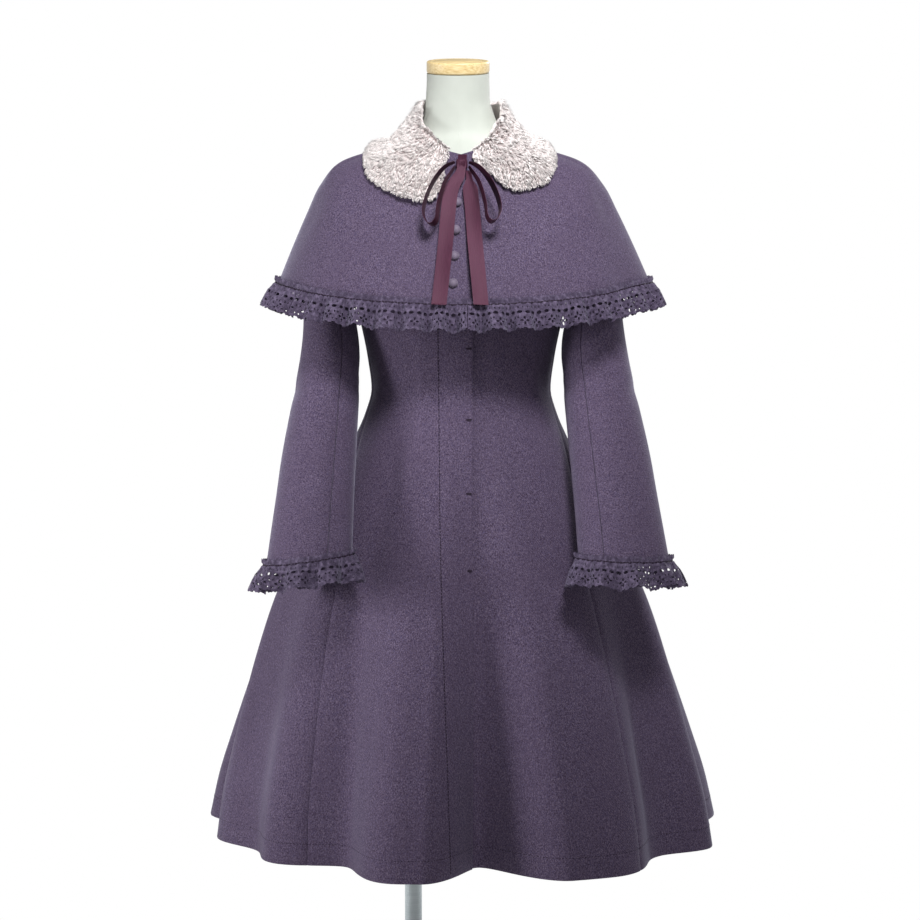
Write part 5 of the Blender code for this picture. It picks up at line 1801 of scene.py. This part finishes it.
def along_line(line, outs):
    """Even places for stitches along a fine line of points, the way it runs there and the way out."""
    run = arc_lengths(line, 0)
    at = np.interp(np.arange(STITCH_PITCH / 2, float(run[-1]), STITCH_PITCH), run, np.arange(len(line)))
    values = (line, np.gradient(line, axis=0), outs)
    steps = np.arange(len(line))
    return [np.stack([np.interp(at, steps, part[:, k]) for k in range(3)], axis=-1) for part in values]


class COAT_OT_sewing(bpy.types.Operator):
    """Makes the fly's topstitching and bar tacks, the hem's line and the lace's gathering line, which also
    paints the shadow line where the lace is pinched
    """

    bl_idname = "cape_coat.sewing"
    bl_label = "Sewing"

    def execute(self, context):
        material = thread_and_shade_material(context.scene.coat_look)
        height = np.linspace(0.405, 1.178, 600)
        angle = front_angle(column(FLY_STITCHES, "x", height), height)
        stitches("fly_topstitch", *along_line(*self.on_cloth(context, angle, height)), material, FLY_STITCH)
        angle = np.linspace(math.radians(-179.5), math.radians(179.5), 3000)
        height = np.full(3000, HEM_HEIGHT + HEM_STITCH_ABOVE)
        stitches("hem_stitch", *along_line(*self.on_cloth(context, angle, height)), material, HEM_STITCH)
        # The gathering line: real stitches, drawn broad and dark as painted shadow where the lace is pinched.
        sewn = []
        for _, edge, waves, first, last in lace_runs():
            wave = np.linspace(first, last, int((last - first) * 40))
            sewn.append(along_line(*gathered(edge, waves, wave, np.zeros(wave.shape), LACE_THREAD)))
        stitches("lace_gathering", *(np.concatenate(part) for part in zip(*sewn)), material, GATHER_STITCH_AND_SHADE)
        height = np.array(TACK_HEIGHTS)
        places, outs = self.on_cloth(context, front_angle(TACK_X, height), height)
        ways = np.tile((1.0, 0.0, 0.0), (len(height), 1))
        stitches("fly_bar_tacks", places, ways, outs, material, BAR_TACK)
        return {"FINISHED"}

    def on_cloth(self, context, angle, height):
        """Points on the coat's outer face and the way out there."""
        out = normal_of(coat_point, angle, height)
        right = (angle < front_angle(FRONT_EDGE_X, height)) & (angle > math.radians(-40))
        lift = np.where(right, front_overlap(angle), 0.0) + WOOL / 2
        lift = lift - creased(COAT_CREASES, np.degrees(angle), height) * context.scene.coat_look.crease
        return coat_point(angle, height) + out * lift[..., None], out


# Stage


class COAT_OT_stage(bpy.types.Operator):
    """Sets the camera, the white surround, the lights and the floor"""

    bl_idname = "cape_coat.stage"
    bl_label = "Stage"

    def execute(self, context):
        look = context.scene.stage_look
        view = bpy.data.cameras.new("photo_view")
        view.sensor_fit = "HORIZONTAL"
        view.sensor_width = SENSOR_MM
        view.lens = CAMERA_FOCAL_PIXELS / IMAGE_PIXELS * SENSOR_MM
        view.clip_end = 50.0
        camera = bpy.data.objects.new("photo_view", view)
        camera.location = CAMERA_PLACE
        camera.rotation_euler = (math.pi / 2 - CAMERA_PITCH, 0.0, 0.0)
        context.scene.collection.objects.link(camera)
        context.scene.camera = camera
        context.scene.view_settings.view_transform = "Standard"
        context.scene.world = self.surround(look)
        for spot in SPOTS:
            lamp = bpy.data.lights.new(spot.name, "SPOT")
            lamp.energy = getattr(look, spot.power)
            lamp.spot_size = math.radians(spot.cone)
            lamp.spot_blend = 1.0
            lamp.shadow_soft_size = spot.radius
            light = bpy.data.objects.new(spot.name, lamp)
            light.location = spot.place
            aim = Vector(spot.target) - Vector(spot.place)
            light.rotation_euler = aim.to_track_quat("-Z", "Y").to_euler()
            context.scene.collection.objects.link(light)
        fresh_object(context)
        bpy.ops.mesh.primitive_cylinder_add(
            vertices=128,
            radius=look.floor_radius,
            depth=FLOOR_THICKNESS,
            location=(0, 0, -FLOOR_BELOW - FLOOR_THICKNESS / 2),
        )
        floor = context.object
        floor.name = floor.data.name = "floor"
        bpy.ops.object.transform_apply(location=True, rotation=True, scale=True)
        floor.data.materials.append(floor_material(look))
        return {"FINISHED"}

    def surround(self, look):
        """A studio round the figure: a white sweep behind it, a greyer room before it, dimmer overhead."""
        world = bpy.data.worlds.new("white_surround")
        world.use_nodes = True
        tree = world.node_tree
        place = add(tree, "ShaderNodeTexCoord")
        parts = add(tree, "ShaderNodeSeparateXYZ", Vector=place.outputs["Generated"])
        height = between(tree, parts.outputs["Z"], -1.0, 1.0)
        dim, white = (look.dim,) * 3, (1.0, 1.0, 1.0)
        sweep = ramp(tree, height, *zip(SWEEP_STOPS, (dim, white, white, dim)))
        tree.links.new(sweep, tree.nodes["Background"].inputs["Color"])
        strength = between(tree, parts.outputs["Y"], -0.5, 0.3, look.sky * look.room, look.sky)
        tree.links.new(strength, tree.nodes["Background"].inputs["Strength"])
        return world


class COAT_PT_pieces(bpy.types.Panel):
    """Lists the pieces and their sizes and colours"""

    bl_idname = "COAT_PT_pieces"
    bl_label = "Cape coat"
    bl_space_type = "VIEW_3D"
    bl_region_type = "UI"
    bl_category = "Coat"

    def draw(self, context):
        for operator in OPERATORS:
            self.layout.operator(operator.bl_idname)
        for name, look in LOOKS:
            box = self.layout.box()
            box.label(text=look.__doc__)
            for key in look.__annotations__:
                box.prop(getattr(context.scene, name), key)


OPERATORS = (
    COAT_OT_stage,
    COAT_OT_form,
    COAT_OT_body,
    COAT_OT_sleeves,
    COAT_OT_cape,
    COAT_OT_lace,
    COAT_OT_collar,
    COAT_OT_bow,
    COAT_OT_buttons,
    COAT_OT_sewing,
)


def register():
    for _, look in LOOKS:
        bpy.utils.register_class(look)
    for name, look in LOOKS:
        setattr(bpy.types.Scene, name, PointerProperty(type=look))
    for operator in OPERATORS:
        bpy.utils.register_class(operator)
    bpy.utils.register_class(COAT_PT_pieces)


def unregister():
    bpy.utils.unregister_class(COAT_PT_pieces)
    for operator in reversed(OPERATORS):
        bpy.utils.unregister_class(operator)
    for name, look in reversed(LOOKS):
        delattr(bpy.types.Scene, name)
        bpy.utils.unregister_class(look)


def main():
    register()
    for operator in OPERATORS:
        group, name = operator.bl_idname.split(".")
        getattr(getattr(bpy.ops, group), name)()


if __name__ == "__main__":
    main()
